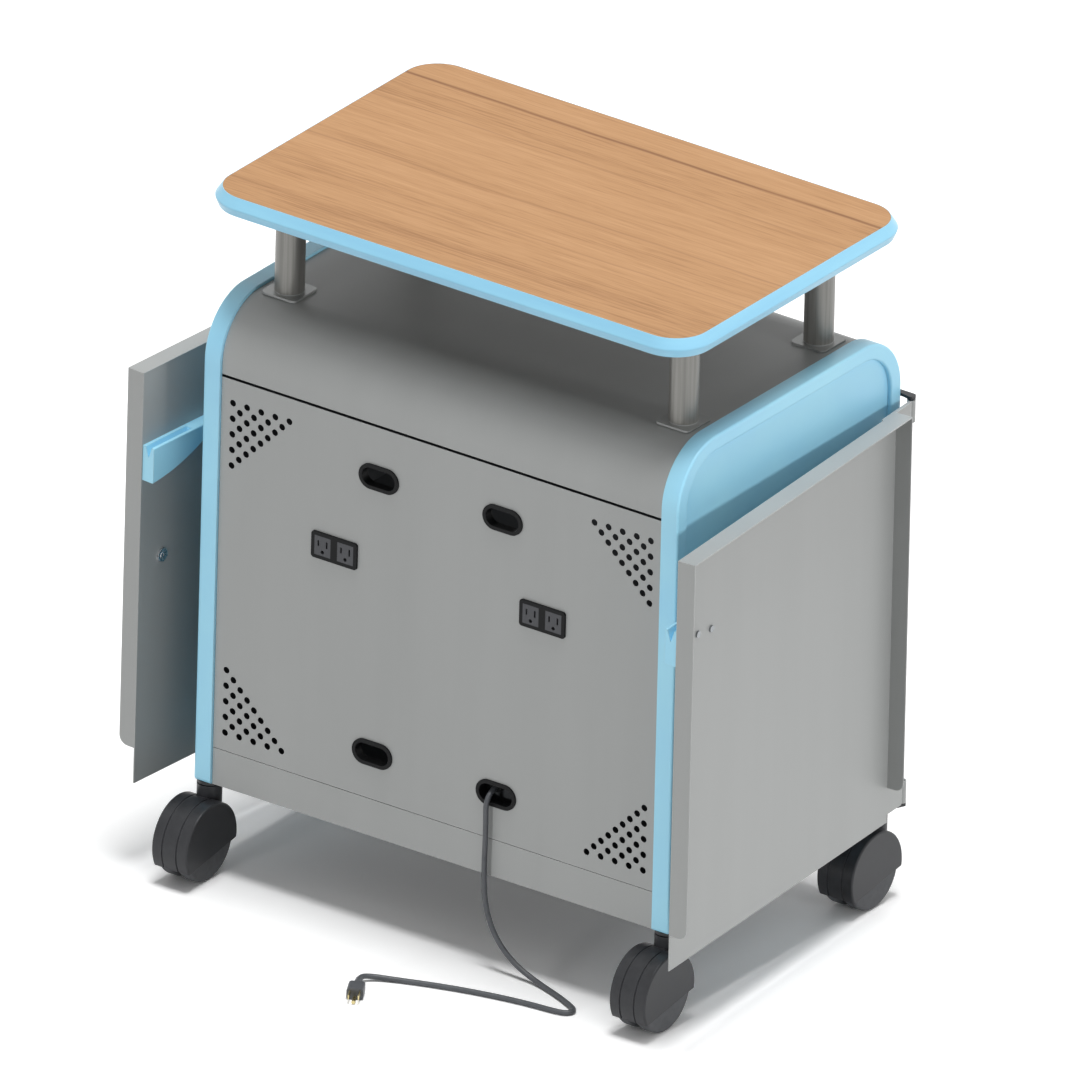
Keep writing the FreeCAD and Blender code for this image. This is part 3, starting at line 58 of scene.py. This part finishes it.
def toLinear(hexText):  # sRGB hex to the linear colour that a shader takes
    parts = [int(hexText[i:i + 2], 16) / 255 for i in (1, 3, 5)]
    return tuple(c / 12.92 if c <= 0.04045 else ((c + 0.055) / 1.055) ** 2.4 for c in parts) + (1.0,)


def addNode(tree, kind, settings=None, values=None, links=None):  # a node, its options, values and links
    made = tree.nodes.new(kind)
    for key, value in (settings or {}).items():
        setattr(made, key, value)
    for key, value in (values or {}).items():
        made.inputs[key].default_value = value
    for key, source in (links or {}).items():
        tree.links.new(source, made.inputs[key])
    return made


def shaderOf(tree):
    return next(n for n in tree.nodes if n.type == "BSDF_PRINCIPLED")


def newMaterial(name, sockets):  # a material and its shader, with plain values on the shader's own sockets
    material = bpy.data.materials.new(name)
    material.use_nodes = True
    tree = material.node_tree
    shader = shaderOf(tree)
    for key, value in sockets.items():
        shader.inputs[key].default_value = value
    return material, tree, shader


def rampStops(ramp, stops):  # (position, hex) pairs on a colour ramp
    while len(ramp.elements) < len(stops):
        ramp.elements.new(0.5)
    for element, (position, colour) in zip(ramp.elements, stops):
        element.position = position
        element.color = toLinear(colour)


def perMetre(sizeMm):  # texture scale whose features are about that many millimetres
    return 1.0 / (sizeMm * mm)


# camera: the photograph is close to parallel projection, so the lens is orthographic
cameraSettings = {
    "right": (0.8138, 0.5803, 0.0221),
    "up": (-0.2686, 0.3424, 0.9003),
    "target": (-5.24, 11.41, 468.1),  # mm, what the middle of the picture looks at
    "pixelsPerMm": 0.809,
    "picture": 1080,
    "distance": 4.0,  # m from there to the lens
}


def makeCamera(s):
    right = Vector(s["right"]).normalized()
    up = Vector(s["up"])
    up = (up - right * up.dot(right)).normalized()
    back = right.cross(up)
    data = bpy.data.cameras.new("camera")
    data.type = "ORTHO"
    data.ortho_scale = s["picture"] / s["pixelsPerMm"] * mm
    camera = bpy.data.objects.new("camera", data)
    scene.collection.objects.link(camera)
    turn = Matrix((right, up, back)).transposed().to_4x4()
    camera.matrix_world = Matrix.Translation(Vector(s["target"]) * mm + back * s["distance"]) @ turn
    scene.camera = camera


makeCamera(cameraSettings)
print("camera placed")

# power cord: the route's points from the CAD source, mm from the cabinet's middle, rear face and floor
cordSettings = {
    "points": [
        (84, 20, 239), (84, -9, 238), (86, -9.5, 187), (84, -9, 131), (88, -9.5, 81), (106, -9, 42),
        (136, -8.5, 16), (172, -10, 3.5), (211.5, -24.4, 3.5), (238.7, -37, 3.5), (251.4, -45, 3.5),
        (249.1, -57.8, 3.5), (228.6, -62.2, 3.5), (199.7, -64.2, 3.5), (159.2, -70.6, 3.5),
        (113.4, -81.2, 3.5), (67.5, -95.2, 3.5), (25.3, -111, 3.5), (0, -124, 5.75), (-9, -137, 8),
        (-4.2, -146, 8),
    ],
    "diameter": 7,
    "length": 0.681,  # m, seen from end to end in the photograph
    "roundness": 6,  # steps in a quarter of the tube's section
    "smoothness": 12,  # steps between two points
    "order": 3,  # the curve follows three points at a time
}


def makeCord(s):
    low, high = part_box("rear_panel")
    middle = (low[0] + high[0]) / 2
    route = [(middle + x * mm, low[1] + y * mm, z * mm) for x, y, z in s["points"]]
    curve = bpy.data.curves.new("powerCord", "CURVE")
    curve.dimensions = "3D"
    curve.bevel_depth = 1.0  # the tube's radius is on its points, which keeps the curve's box true
    curve.bevel_resolution = s["roundness"]
    curve.resolution_u = s["smoothness"]
    curve.use_fill_caps = True
    spline = curve.splines.new("NURBS")
    spline.points.add(len(route) - 1)
    for point, place in zip(spline.points, route):
        point.co = (*place, 1)
        point.radius = s["diameter"] / 2 * mm
    spline.order_u = s["order"]
    spline.use_endpoint_u = True
    cord = bpy.data.objects.new("powerCord", curve)
    scene.collection.objects.link(cord)
    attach(cord, "cart")
    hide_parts("power_cord")
    return cord


powerCord = makeCord(cordSettings)
print("cord laid")

# oak-pattern laminate: printed grain under a satin melamine skin, so even gloss over long fine streaks
oakSettings = {
    "pale": "#c49567",
    "middle": "#b8895a",
    "dark": "#9f7145",
    "toneAt": (0.36, 0.48, 0.62),  # grain values that give the dark, middle and pale tones
    "line": "#8a5c33",
    "backer": "#4d4945",  # phenolic sheet on the underside
    "band": {"Scale": perMetre(46), "Detail": 2, "Distortion": 0.3},  # broad tone across the grain
    "streak": {"Scale": perMetre(4), "Detail": 4, "Roughness": 0.62, "Distortion": 0.5},
    "pore": {"Scale": perMetre(2.2), "Detail": 2, "Roughness": 0.7},  # coarser than real pores, so they show
    "stretch": (1 / 28, 1, 1),  # streaks are 28 times longer than they are wide
    "streakShare": 0.56,  # of streak over band
    "poreShare": 0.3,
    "lines": ((53, 4.8, 2.0), (128, 2.6, 0.7), (262, 3.0, 0.8), (341, 2.4, 0.6)),  # mm in, mm of fade, depth
    "wander": {"Scale": perMetre(250), "Detail": 2},  # how the lines wave along the board
    "waveMm": 2.5,  # how far a line goes to either side
    "underside": -0.5,  # a face that looks down by more than this is the backer
    "ior": 1.5,
    "specular": 0.4,
    "roughness": (0.5, 0.4),  # on dark and on pale grain
    "relief": 0.08,
    "reliefHigh": 0.2,  # mm
}


def makeOak(s):
    sockets = {"IOR": s["ior"], "Specular IOR Level": s["specular"]}
    material, tree, shader = newMaterial("oakLaminate", sockets)
    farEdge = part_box("worktop_board")[1][1]
    swing = 4 * s["waveMm"] * mm  # noise stays within about a quarter of its middle, which is a half
    place = addNode(tree, "ShaderNodeTexCoord").outputs["Object"]
    along = addNode(tree, "ShaderNodeMapping", values={"Scale": s["stretch"]}, links={"Vector": place})
    band, streak, pores = [
        addNode(tree, "ShaderNodeTexNoise", values=s[kind], links={"Vector": along.outputs["Vector"]})
        for kind in ("band", "streak", "pore")]
    both = addNode(tree, "ShaderNodeMix", {"data_type": "FLOAT"}, {share: s["streakShare"]},
                   {valueA: band.outputs["Fac"], valueB: streak.outputs["Fac"]})
    grain = addNode(tree, "ShaderNodeMix", {"data_type": "FLOAT"}, {share: s["poreShare"]},
                    {valueA: both.outputs[mixedValue], valueB: pores.outputs["Fac"]})
    tone = addNode(tree, "ShaderNodeValToRGB", links={"Fac": grain.outputs[mixedValue]})
    rampStops(tone.color_ramp, list(zip(s["toneAt"], (s["dark"], s["middle"], s["pale"]))))
    wander = addNode(tree, "ShaderNodeTexNoise", values=s["wander"], links={"Vector": place})
    axes = addNode(tree, "ShaderNodeSeparateXYZ", links={"Vector": place})
    shifted = addNode(tree, "ShaderNodeMath", {"operation": "MULTIPLY_ADD"}, {1: swing},
                      {0: wander.outputs["Fac"], 2: axes.outputs["Y"]})
    colour = tone.outputs["Color"]
    for fromEdge, fade, depth in s["lines"]:  # heart lines, the dark ones that run the length of the board
        away = addNode(tree, "ShaderNodeMath", {"operation": "SUBTRACT"},
                       {1: farEdge - fromEdge * mm + swing / 2}, {0: shifted.outputs["Value"]})
        off = addNode(tree, "ShaderNodeMath", {"operation": "ABSOLUTE"}, links={0: away.outputs["Value"]})
        line = addNode(tree, "ShaderNodeMapRange", {"interpolation_type": "SMOOTHSTEP"},
                       {"From Min": fade * mm, "From Max": 0, "To Min": 0, "To Max": depth},
                       {"Value": off.outputs["Value"]})
        broken = addNode(tree, "ShaderNodeMath", {"operation": "MULTIPLY"},
                         links={0: line.outputs["Result"], 1: streak.outputs["Fac"]})
        mixed = addNode(tree, "ShaderNodeMix", {"data_type": "RGBA"}, {colourB: toLinear(s["line"])},
                        {share: broken.outputs["Value"], colourA: colour})
        colour = mixed.outputs[mixedColour]
    surface = addNode(tree, "ShaderNodeNewGeometry")
    upright = addNode(tree, "ShaderNodeSeparateXYZ", links={"Vector": surface.outputs["True Normal"]})
    under = addNode(tree, "ShaderNodeMath", {"operation": "LESS_THAN"}, {1: s["underside"]},
                    {0: upright.outputs["Z"]})
    whole = addNode(tree, "ShaderNodeMix", {"data_type": "RGBA"}, {colourB: toLinear(s["backer"])},
                    {share: under.outputs["Value"], colourA: colour})
    tree.links.new(whole.outputs[mixedColour], shader.inputs["Base Color"])
    onDark, onPale = s["roughness"]
    gloss = addNode(tree, "ShaderNodeMapRange", values={"To Min": onDark, "To Max": onPale},
                    links={"Value": streak.outputs["Fac"]})
    tree.links.new(gloss.outputs["Result"], shader.inputs["Roughness"])
    bump = addNode(tree, "ShaderNodeBump", links={"Height": pores.outputs["Fac"]},
                   values={"Strength": s["relief"], "Distance": s["reliefHigh"] * mm})
    tree.links.new(bump.outputs["Normal"], shader.inputs["Normal"])
    return material


def paintOver(material, mask, colour):  # another colour where the mask is 1
    tree = material.node_tree
    base = shaderOf(tree).inputs["Base Color"]
    painted = addNode(tree, "ShaderNodeMix", {"data_type": "RGBA"}, {colourB: toLinear(colour)},
                      {share: mask, colourA: base.links[0].from_socket})
    tree.links.new(painted.outputs[mixedColour], base)


# every coat, plating and moulding: clouded colour, fine relief, wandering gloss, and lighter edges that are
# partly wear and partly painted highlight
# relief sizes are a few times the real grain, which would be too fine to show at this distance
skinSettings = {
    "cloud": {"Detail": 4, "Roughness": 0.55},
    "grain": {"Detail": 2},
    "reliefHigh": 0.2,  # mm
    "toneAt": (0.3, 0.7),  # cloud values that give the dark and light tones
    "edgeAt": (0.99, 0.9),  # how far the surface turns, as a cosine, where an edge starts and is full
    "edgeSamples": 4,
}


def makeSkin(name, s):
    sockets = {"Metallic": s.get("metallic", 0.0)}
    if "ior" in s:
        sockets["IOR"] = s["ior"]
    if "specular" in s:
        sockets["Specular IOR Level"] = s["specular"]
    material, tree, shader = newMaterial(name, sockets)
    place = addNode(tree, "ShaderNodeTexCoord")
    along = addNode(tree, "ShaderNodeMapping", values={"Scale": s.get("stretch", (1, 1, 1))},
                    links={"Vector": place.outputs["Object"]})
    surfaceWay = {"Vector": along.outputs["Vector"]}
    cloud = addNode(tree, "ShaderNodeTexNoise", links=surfaceWay,
                    values={"Scale": perMetre(s["cloudMm"]), **skinSettings["cloud"]})
    relief = addNode(tree, "ShaderNodeTexNoise", links=surfaceWay,
                     values={"Scale": perMetre(s["reliefMm"]), **skinSettings["grain"]})
    tone = addNode(tree, "ShaderNodeValToRGB", links={"Fac": cloud.outputs["Fac"]})
    rampStops(tone.color_ramp, list(zip(skinSettings["toneAt"], (s["dark"], s["light"]))))
    rounded = addNode(tree, "ShaderNodeBevel", {"samples": skinSettings["edgeSamples"]},
                      {"Radius": s["edgeMm"] * mm})
    surface = addNode(tree, "ShaderNodeNewGeometry")
    facing = addNode(tree, "ShaderNodeVectorMath", {"operation": "DOT_PRODUCT"},
                     links={0: rounded.outputs["Normal"], 1: surface.outputs["Normal"]})
    starts, full = skinSettings["edgeAt"]
    edge = addNode(tree, "ShaderNodeMapRange", links={"Value": facing.outputs["Value"]},
                   values={"From Min": starts, "From Max": full, "To Min": 0, "To Max": s["edgeWearAndHighlight"]})
    # lighter edges: partly wear, partly a painted highlight along the folds and rims
    wornAndHighlit = addNode(tree, "ShaderNodeMath", {"operation": "MULTIPLY"},
                     links={0: edge.outputs["Result"], 1: cloud.outputs["Fac"]})
    colour = addNode(tree, "ShaderNodeMix", {"data_type": "RGBA"}, {colourB: toLinear(s["edge"])},
                     {share: wornAndHighlit.outputs["Value"], colourA: tone.outputs["Color"]})
    tree.links.new(colour.outputs[mixedColour], shader.inputs["Base Color"])
    gloss = addNode(tree, "ShaderNodeMapRange", links={"Value": cloud.outputs["Fac"]},
                    values={"To Min": s["roughness"] - s["gloss"], "To Max": s["roughness"] + s["gloss"]})
    tree.links.new(gloss.outputs["Result"], shader.inputs["Roughness"])
    bump = addNode(tree, "ShaderNodeBump", None,
                   {"Strength": s["relief"], "Distance": skinSettings["reliefHigh"] * mm},
                   {"Height": relief.outputs["Fac"], "Normal": rounded.outputs["Normal"]})
    tree.links.new(bump.outputs["Normal"], shader.inputs["Normal"])
    return material


# sheet steel under epoxy powder: satin grey, a fine orange peel, and faint upright streaks that are a
# painted reflection of the folds
greySettings = {
    "light": "#a9abaa", "dark": "#a4a6a5", "edge": "#e4e6e5", "ior": 1.5, "roughness": 0.42, "gloss": 0.06,
    "cloudMm": 90, "stretch": (1, 1, 0.08), "reliefMm": 2.4, "relief": 0.1, "edgeMm": 1.5, "edgeWearAndHighlight": 1.4,
}
# moulded ABS of the end panels and handles: pale blue, a soft sheen and a fine stipple from the mould
blueSettings = {
    "light": "#aeeaff", "dark": "#a3e1fd", "edge": "#d6f6ff", "ior": 1.54, "roughness": 0.36, "gloss": 0.06,
    "cloudMm": 150, "reliefMm": 2.0, "relief": 0.07, "edgeMm": 1.6, "edgeWearAndHighlight": 0.7,
}
# extruded PVC edging: the same blue, a little glossier, with faint drawn lines along its length
edgingSettings = {
    "light": "#9ad6f0", "dark": "#8fcbe9", "edge": "#d4f3ff", "ior": 1.53, "roughness": 0.3, "gloss": 0.05,
    "cloudMm": 60, "stretch": (0.2, 0.2, 3), "reliefMm": 3.0, "relief": 0.05, "edgeMm": 1.2, "edgeWearAndHighlight": 0.8,
}
# lacquered steel tube, brushed along its length: upright hairlines and a soft broken glare
postSettings = {
    "light": "#908f8b", "dark": "#787773", "edge": "#bdbcb8", "metallic": 0.4,
    "roughness": 0.36, "gloss": 0.08,
    "cloudMm": 4, "stretch": (1, 1, 0.02), "reliefMm": 1.5, "relief": 0.12, "edgeMm": 0.8, "edgeWearAndHighlight": 0.6,
}
# zinc-plated steel: a cool bright plate with small clouds of passivation
zincSettings = {
    "light": "#a4a7a9", "dark": "#85898c", "edge": "#c6c9cb", "metallic": 1.0,
    "roughness": 0.33, "gloss": 0.1,
    "cloudMm": 5, "reliefMm": 1.0, "relief": 0.08, "edgeMm": 0.5, "edgeWearAndHighlight": 0.6,
}
# moulded black nylon: cable grommets and cord gland, dull with a fine grain
blackSettings = {
    "light": "#111213", "dark": "#0b0c0d", "edge": "#2a2b2e", "ior": 1.53, "specular": 0.14,
    "roughness": 0.48, "gloss": 0.08,
    "cloudMm": 14, "reliefMm": 1.2, "relief": 0.15, "edgeMm": 0.7, "edgeWearAndHighlight": 0.8,
}
# glass-filled nylon caster hoods: charcoal with a faint mottle and lighter edges, partly scuffed and partly
# painted highlight
casterSettings = {
    "light": "#303134", "dark": "#27282b", "edge": "#54555a", "ior": 1.53, "specular": 0.35,
    "roughness": 0.42, "gloss": 0.1,
    "cloudMm": 11, "reliefMm": 1.6, "relief": 0.14, "edgeMm": 1.0, "edgeWearAndHighlight": 0.9,
}
# grey thermoplastic rubber: dusty tread, no gloss
treadSettings = {
    "light": "#57585b", "dark": "#484a4c", "edge": "#77787b", "ior": 1.52, "roughness": 0.72, "gloss": 0.08,
    "cloudMm": 9, "reliefMm": 1.3, "relief": 0.25, "edgeMm": 1.0, "edgeWearAndHighlight": 0.8,
}
# soft PVC cord and plug: dark grey, slightly greasy sheen
vinylSettings = {
    "light": "#54565a", "dark": "#474a4e", "edge": "#6b6d71", "ior": 1.53, "roughness": 0.45, "gloss": 0.08,
    "cloudMm": 9, "reliefMm": 1.1, "relief": 0.1, "edgeMm": 0.6, "edgeWearAndHighlight": 0.7,
}
# black-coated steel hinge brackets and caster plates: thin paint with bright edges, partly rubbed and partly
# painted highlight
bracketSettings = {
    "light": "#2a2b2d", "dark": "#1f2022", "edge": "#6a6b6e", "ior": 1.5, "roughness": 0.4, "gloss": 0.08,
    "cloudMm": 12, "reliefMm": 1.4, "relief": 0.12, "edgeMm": 0.6, "edgeWearAndHighlight": 0.8,
}
# nickel-washed brass blades: warm pale metal, hardly worn
bladeSettings = {
    "light": "#dccf9f", "dark": "#c7b782", "edge": "#f0e7c4", "metallic": 1.0,
    "roughness": 0.28, "gloss": 0.08,
    "cloudMm": 3, "reliefMm": 0.8, "relief": 0.06, "edgeMm": 0.3, "edgeWearAndHighlight": 0.6,
}
# chrome-plated lock: bright and cool, dulled a little by handling marks
chromeSettings = {
    "light": "#dfe1e3", "dark": "#c9ccd0", "edge": "#f2f3f4", "metallic": 1.0,
    "roughness": 0.28, "gloss": 0.06,
    "cloudMm": 3, "reliefMm": 1.0, "relief": 0.03, "edgeMm": 0.4, "edgeWearAndHighlight": 0.5,
}

# outlet modules: black nylon bodies whose two receptacles are moulded in a lighter grey
outletSettings = dict(
    blackSettings,
    face="#58595c",
    socketOff=17.2,  # mm from the module's middle to a receptacle's
    faceWide=25,
    faceTall=27,
    faceRim=0.8,  # soft border of a face
)


def makeOutlets(s):
    material = makeSkin("outletNylon", s)
    tree = material.node_tree
    modules = ("outlet_left", "outlet_right")
    first, second = [[(a + b) / 2 for a, b in zip(*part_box(name))] for name in modules]
    place = addNode(tree, "ShaderNodeTexCoord")
    axes = addNode(tree, "ShaderNodeSeparateXYZ", links={"Vector": place.outputs["Object"]})
    across = axes.outputs["X"]  # folded three times, so that all four receptacles have their middle at 0
    for fold in ((first[0] + second[0]) / 2, abs(second[0] - first[0]) / 2, s["socketOff"] * mm):
        moved = addNode(tree, "ShaderNodeMath", {"operation": "SUBTRACT"}, {1: fold}, {0: across})
        folded = addNode(tree, "ShaderNodeMath", {"operation": "ABSOLUTE"},
                         links={0: moved.outputs["Value"]})
        across = folded.outputs["Value"]
    raised = addNode(tree, "ShaderNodeMath", {"operation": "SUBTRACT"}, {1: first[2]},
                     {0: axes.outputs["Z"]})
    up = addNode(tree, "ShaderNodeMath", {"operation": "ABSOLUTE"}, links={0: raised.outputs["Value"]})
    inWidth, inHeight = [
        addNode(tree, "ShaderNodeMapRange", links={"Value": source},
                values={"From Min": half * mm, "From Max": (half - s["faceRim"]) * mm})
        for source, half in ((across, s["faceWide"] / 2), (up.outputs["Value"], s["faceTall"] / 2))]
    inside = addNode(tree, "ShaderNodeMath", {"operation": "MULTIPLY"},
                     links={0: inWidth.outputs["Result"], 1: inHeight.outputs["Result"]})
    paintOver(material, inside.outputs["Value"], s["face"])
    return material


# painted shade inside the cabinet: its inner faces are painted a dull dark grey, which makes the vents,
# cable openings and seam read black
interiorShadeSettings = {
    "colour": "#4a4c4e",
    "skin": 0.6,  # mm of an outer sheet that keeps its own colour
    "bend": 79,  # mm, a little over the cover's bend radius
    "endWall": 10,  # mm of an end panel that keeps its blue
    "specular": 0.5,  # of the coat outside; the painted shade inside has none
}


def paintInteriorShade(material, s):
    tree = material.node_tree
    low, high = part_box("top_cover")
    left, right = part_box("left_end_panel")[0][0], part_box("right_end_panel")[1][0]
    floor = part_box("base_pan")[0][2]
    bend = s["bend"] * mm
    skin = s["skin"] * mm
    middle = Vector(((left + right) / 2, (low[1] + high[1]) / 2, floor))
    halfWide = (right - left) / 2 - s["endWall"] * mm
    reach = Vector((halfWide, (high[1] - low[1]) / 2 - bend, high[2] - floor - bend))
    place = addNode(tree, "ShaderNodeTexCoord")
    off = addNode(tree, "ShaderNodeVectorMath", {"operation": "SUBTRACT"}, {1: middle},
                  {0: place.outputs["Object"]})
    mirrored = addNode(tree, "ShaderNodeVectorMath", {"operation": "ABSOLUTE"},
                       links={0: off.outputs["Vector"]})
    past = addNode(tree, "ShaderNodeVectorMath", {"operation": "SUBTRACT"}, {1: reach},
                   {0: mirrored.outputs["Vector"]})
    axes = addNode(tree, "ShaderNodeSeparateXYZ", links={"Vector": past.outputs["Vector"]})
    section = addNode(tree, "ShaderNodeCombineXYZ", links={"Y": axes.outputs["Y"], "Z": axes.outputs["Z"]})
    beyond = addNode(tree, "ShaderNodeVectorMath", {"operation": "MAXIMUM"},
                     links={0: section.outputs["Vector"]})
    fromBend = addNode(tree, "ShaderNodeVectorMath", {"operation": "LENGTH"},
                       links={0: beyond.outputs["Vector"]})
    inSkin = addNode(tree, "ShaderNodeMath", {"operation": "LESS_THAN"}, {1: bend - skin},
                     {0: fromBend.outputs["Value"]})
    inEnds = addNode(tree, "ShaderNodeMath", {"operation": "LESS_THAN"}, {1: 0.0}, {0: axes.outputs["X"]})
    height = addNode(tree, "ShaderNodeSeparateXYZ", links={"Vector": off.outputs["Vector"]})
    above = addNode(tree, "ShaderNodeMath", {"operation": "GREATER_THAN"}, {1: skin},
                    {0: height.outputs["Z"]})
    inBoth = addNode(tree, "ShaderNodeMath", {"operation": "MULTIPLY"},
                     links={0: inSkin.outputs["Value"], 1: inEnds.outputs["Value"]})
    inside = addNode(tree, "ShaderNodeMath", {"operation": "MULTIPLY"},
                     links={0: inBoth.outputs["Value"], 1: above.outputs["Value"]})
    # painted shade: the inner faces take the dark colour and lose their specular
    paintOver(material, inside.outputs["Value"], s["colour"])
    dull = addNode(tree, "ShaderNodeMapRange", values={"To Min": s["specular"], "To Max": 0.0},
                   links={"Value": inside.outputs["Value"]})
    tree.links.new(dull.outputs["Result"], shaderOf(tree).inputs["Specular IOR Level"])


# foot plates of the posts: painted grey like the cover that they stand on
footSettings = {"colour": "#a2a4a3", "plate": 4}  # mm above the cover


def paintFeet(material, s):
    tree = material.node_tree
    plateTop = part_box("top_cover")[1][2] + s["plate"] * mm
    place = addNode(tree, "ShaderNodeTexCoord")
    axes = addNode(tree, "ShaderNodeSeparateXYZ", links={"Vector": place.outputs["Object"]})
    below = addNode(tree, "ShaderNodeMath", {"operation": "LESS_THAN"}, {1: plateTop},
                    {0: axes.outputs["Z"]})
    paintOver(material, below.outputs["Value"], s["colour"])


vinyl = makeSkin("cordVinyl", vinylSettings)
outletNylon = makeOutlets(outletSettings)
slotFinish = {
    "oak_laminate": makeOak(oakSettings),
    "blue_edging": makeSkin("extrudedPvcEdging", edgingSettings),
    "post_steel": makeSkin("brushedSteelTube", postSettings),
    "zinc_steel": makeSkin("zincPlatedSteel", zincSettings),
    "grey_paint": makeSkin("greyPowderCoat", greySettings),
    "blue_plastic": makeSkin("blueMouldedAbs", blueSettings),
    "black_plastic": makeSkin("blackNylon", blackSettings),
    "cord_rubber": vinyl,
    "plug_plastic": vinyl,
    "blade_brass": makeSkin("nickelWashedBrass", bladeSettings),
    "lock_chrome": makeSkin("polishedChrome", chromeSettings),
    "hinge_steel": makeSkin("blackCoatedSteel", bracketSettings),
    "caster_plastic": makeSkin("charcoalNylon", casterSettings),
    "tread_rubber": makeSkin("greyTreadRubber", treadSettings),
}
paintInteriorShade(slotFinish["grey_paint"], interiorShadeSettings)
paintInteriorShade(slotFinish["blue_plastic"], interiorShadeSettings)
paintFeet(slotFinish["post_steel"], footSettings)
for part in frame["record"]["subparts"]:
    piece = nodes[part["node"]]
    piece.data.materials.clear()
    piece.data.materials.append(slotFinish[part["material_slot"]])
for name in ("outlet_left", "outlet_right"):
    nodes[name].data.materials[0] = outletNylon
powerCord.data.materials.append(vinyl)
print("finishes given to every node")

# studio: a soft dome, a broad light overhead, two low ones square to the sides, and a white floor
studioSettings = {
    "floor": 16.0,  # m, its side
    "paper": "#c8c8c8",  # the floor's colour in the light that it throws back on the object
    "seenPaper": 1.2,  # the floor's colour as the lens sees it, so that its open part is plain white
    "domeFrom": (0.2, 0.6, 0.77),  # where the dome is brightest
    "domeEnds": -0.3,  # cosine from there at which it is darkest
    "domeLow": 0.06,
    "domeHigh": 0.6,
    "lights": {  # where from, level, spread in degrees, whether it shows as a glare
        "overheadLight": ((0.06, -0.03, 1.0), 0.7, 20, True),
        "rearLight": ((-0.06, -1.0, 0.1), 0.29, 10, False),
        "sideLight": ((1.0, 0.04, 0.14), 0.29, 8, False),
    },
}


def seenDirectly(tree):  # 1 for rays from the lens, a mirror or glass, 0 for light that falls on the object
    path = addNode(tree, "ShaderNodeLightPath")
    sight = addNode(tree, "ShaderNodeMath", {"operation": "MAXIMUM"},
                    links={0: path.outputs["Is Camera Ray"], 1: path.outputs["Is Glossy Ray"]})
    both = addNode(tree, "ShaderNodeMath", {"operation": "MAXIMUM"},
                   links={0: sight.outputs["Value"], 1: path.outputs["Is Transmission Ray"]})
    return both.outputs["Value"]


def makeFloor(s):
    half = s["floor"] / 2
    corners = [(-half, -half, 0), (half, -half, 0), (half, half, 0), (-half, half, 0)]
    mesh = bpy.data.meshes.new("studioFloor")
    mesh.from_pydata(corners, [], [(0, 1, 2, 3)])
    floor = bpy.data.objects.new("studioFloor", mesh)
    scene.collection.objects.link(floor)
    # matt card: no gloss, so only the shadow shows on it
    card, tree, shader = newMaterial("mattCard", {"Roughness": 1.0, "Specular IOR Level": 0.0})
    seen = (s["seenPaper"],) * 3 + (1.0,)
    tint = addNode(tree, "ShaderNodeMix", {"data_type": "RGBA"},
                   {colourA: toLinear(s["paper"]), colourB: seen}, {share: seenDirectly(tree)})
    tree.links.new(tint.outputs[mixedColour], shader.inputs["Base Color"])
    mesh.materials.append(card)


def makeLight(s):
    world = bpy.data.worlds.new("studioWorld")
    scene.world = world
    world.use_nodes = True
    sky = world.node_tree
    background = next(n for n in sky.nodes if n.type == "BACKGROUND")
    background.inputs["Color"].default_value = (1, 1, 1, 1)
    toward = addNode(sky, "ShaderNodeTexCoord")
    lean = addNode(sky, "ShaderNodeVectorMath", {"operation": "DOT_PRODUCT"},
                   {1: Vector(s["domeFrom"]).normalized()}, {0: toward.outputs["Generated"]})
    dome = addNode(sky, "ShaderNodeMapRange", links={"Value": lean.outputs["Value"]},
                   values={"From Min": s["domeEnds"], "To Min": s["domeLow"], "To Max": s["domeHigh"]})
    level = addNode(sky, "ShaderNodeMix", {"data_type": "FLOAT"}, {valueB: 1.0},
                    {share: seenDirectly(sky), valueA: dome.outputs["Result"]})
    sky.links.new(level.outputs[mixedValue], background.inputs["Strength"])
    for name, (comesFrom, strength, spread, glares) in s["lights"].items():
        lamp = bpy.data.lights.new(name, "SUN")
        lamp.energy = strength * math.pi  # at level 1 a white card that faces the lamp is plain white
        lamp.angle = math.radians(spread)
        light = bpy.data.objects.new(name, lamp)
        light.visible_glossy = glares
        light.rotation_euler = Vector(comesFrom).to_track_quat("Z", "Y").to_euler()
        scene.collection.objects.link(light)


makeFloor(studioSettings)
makeLight(studioSettings)
print("studio lit")
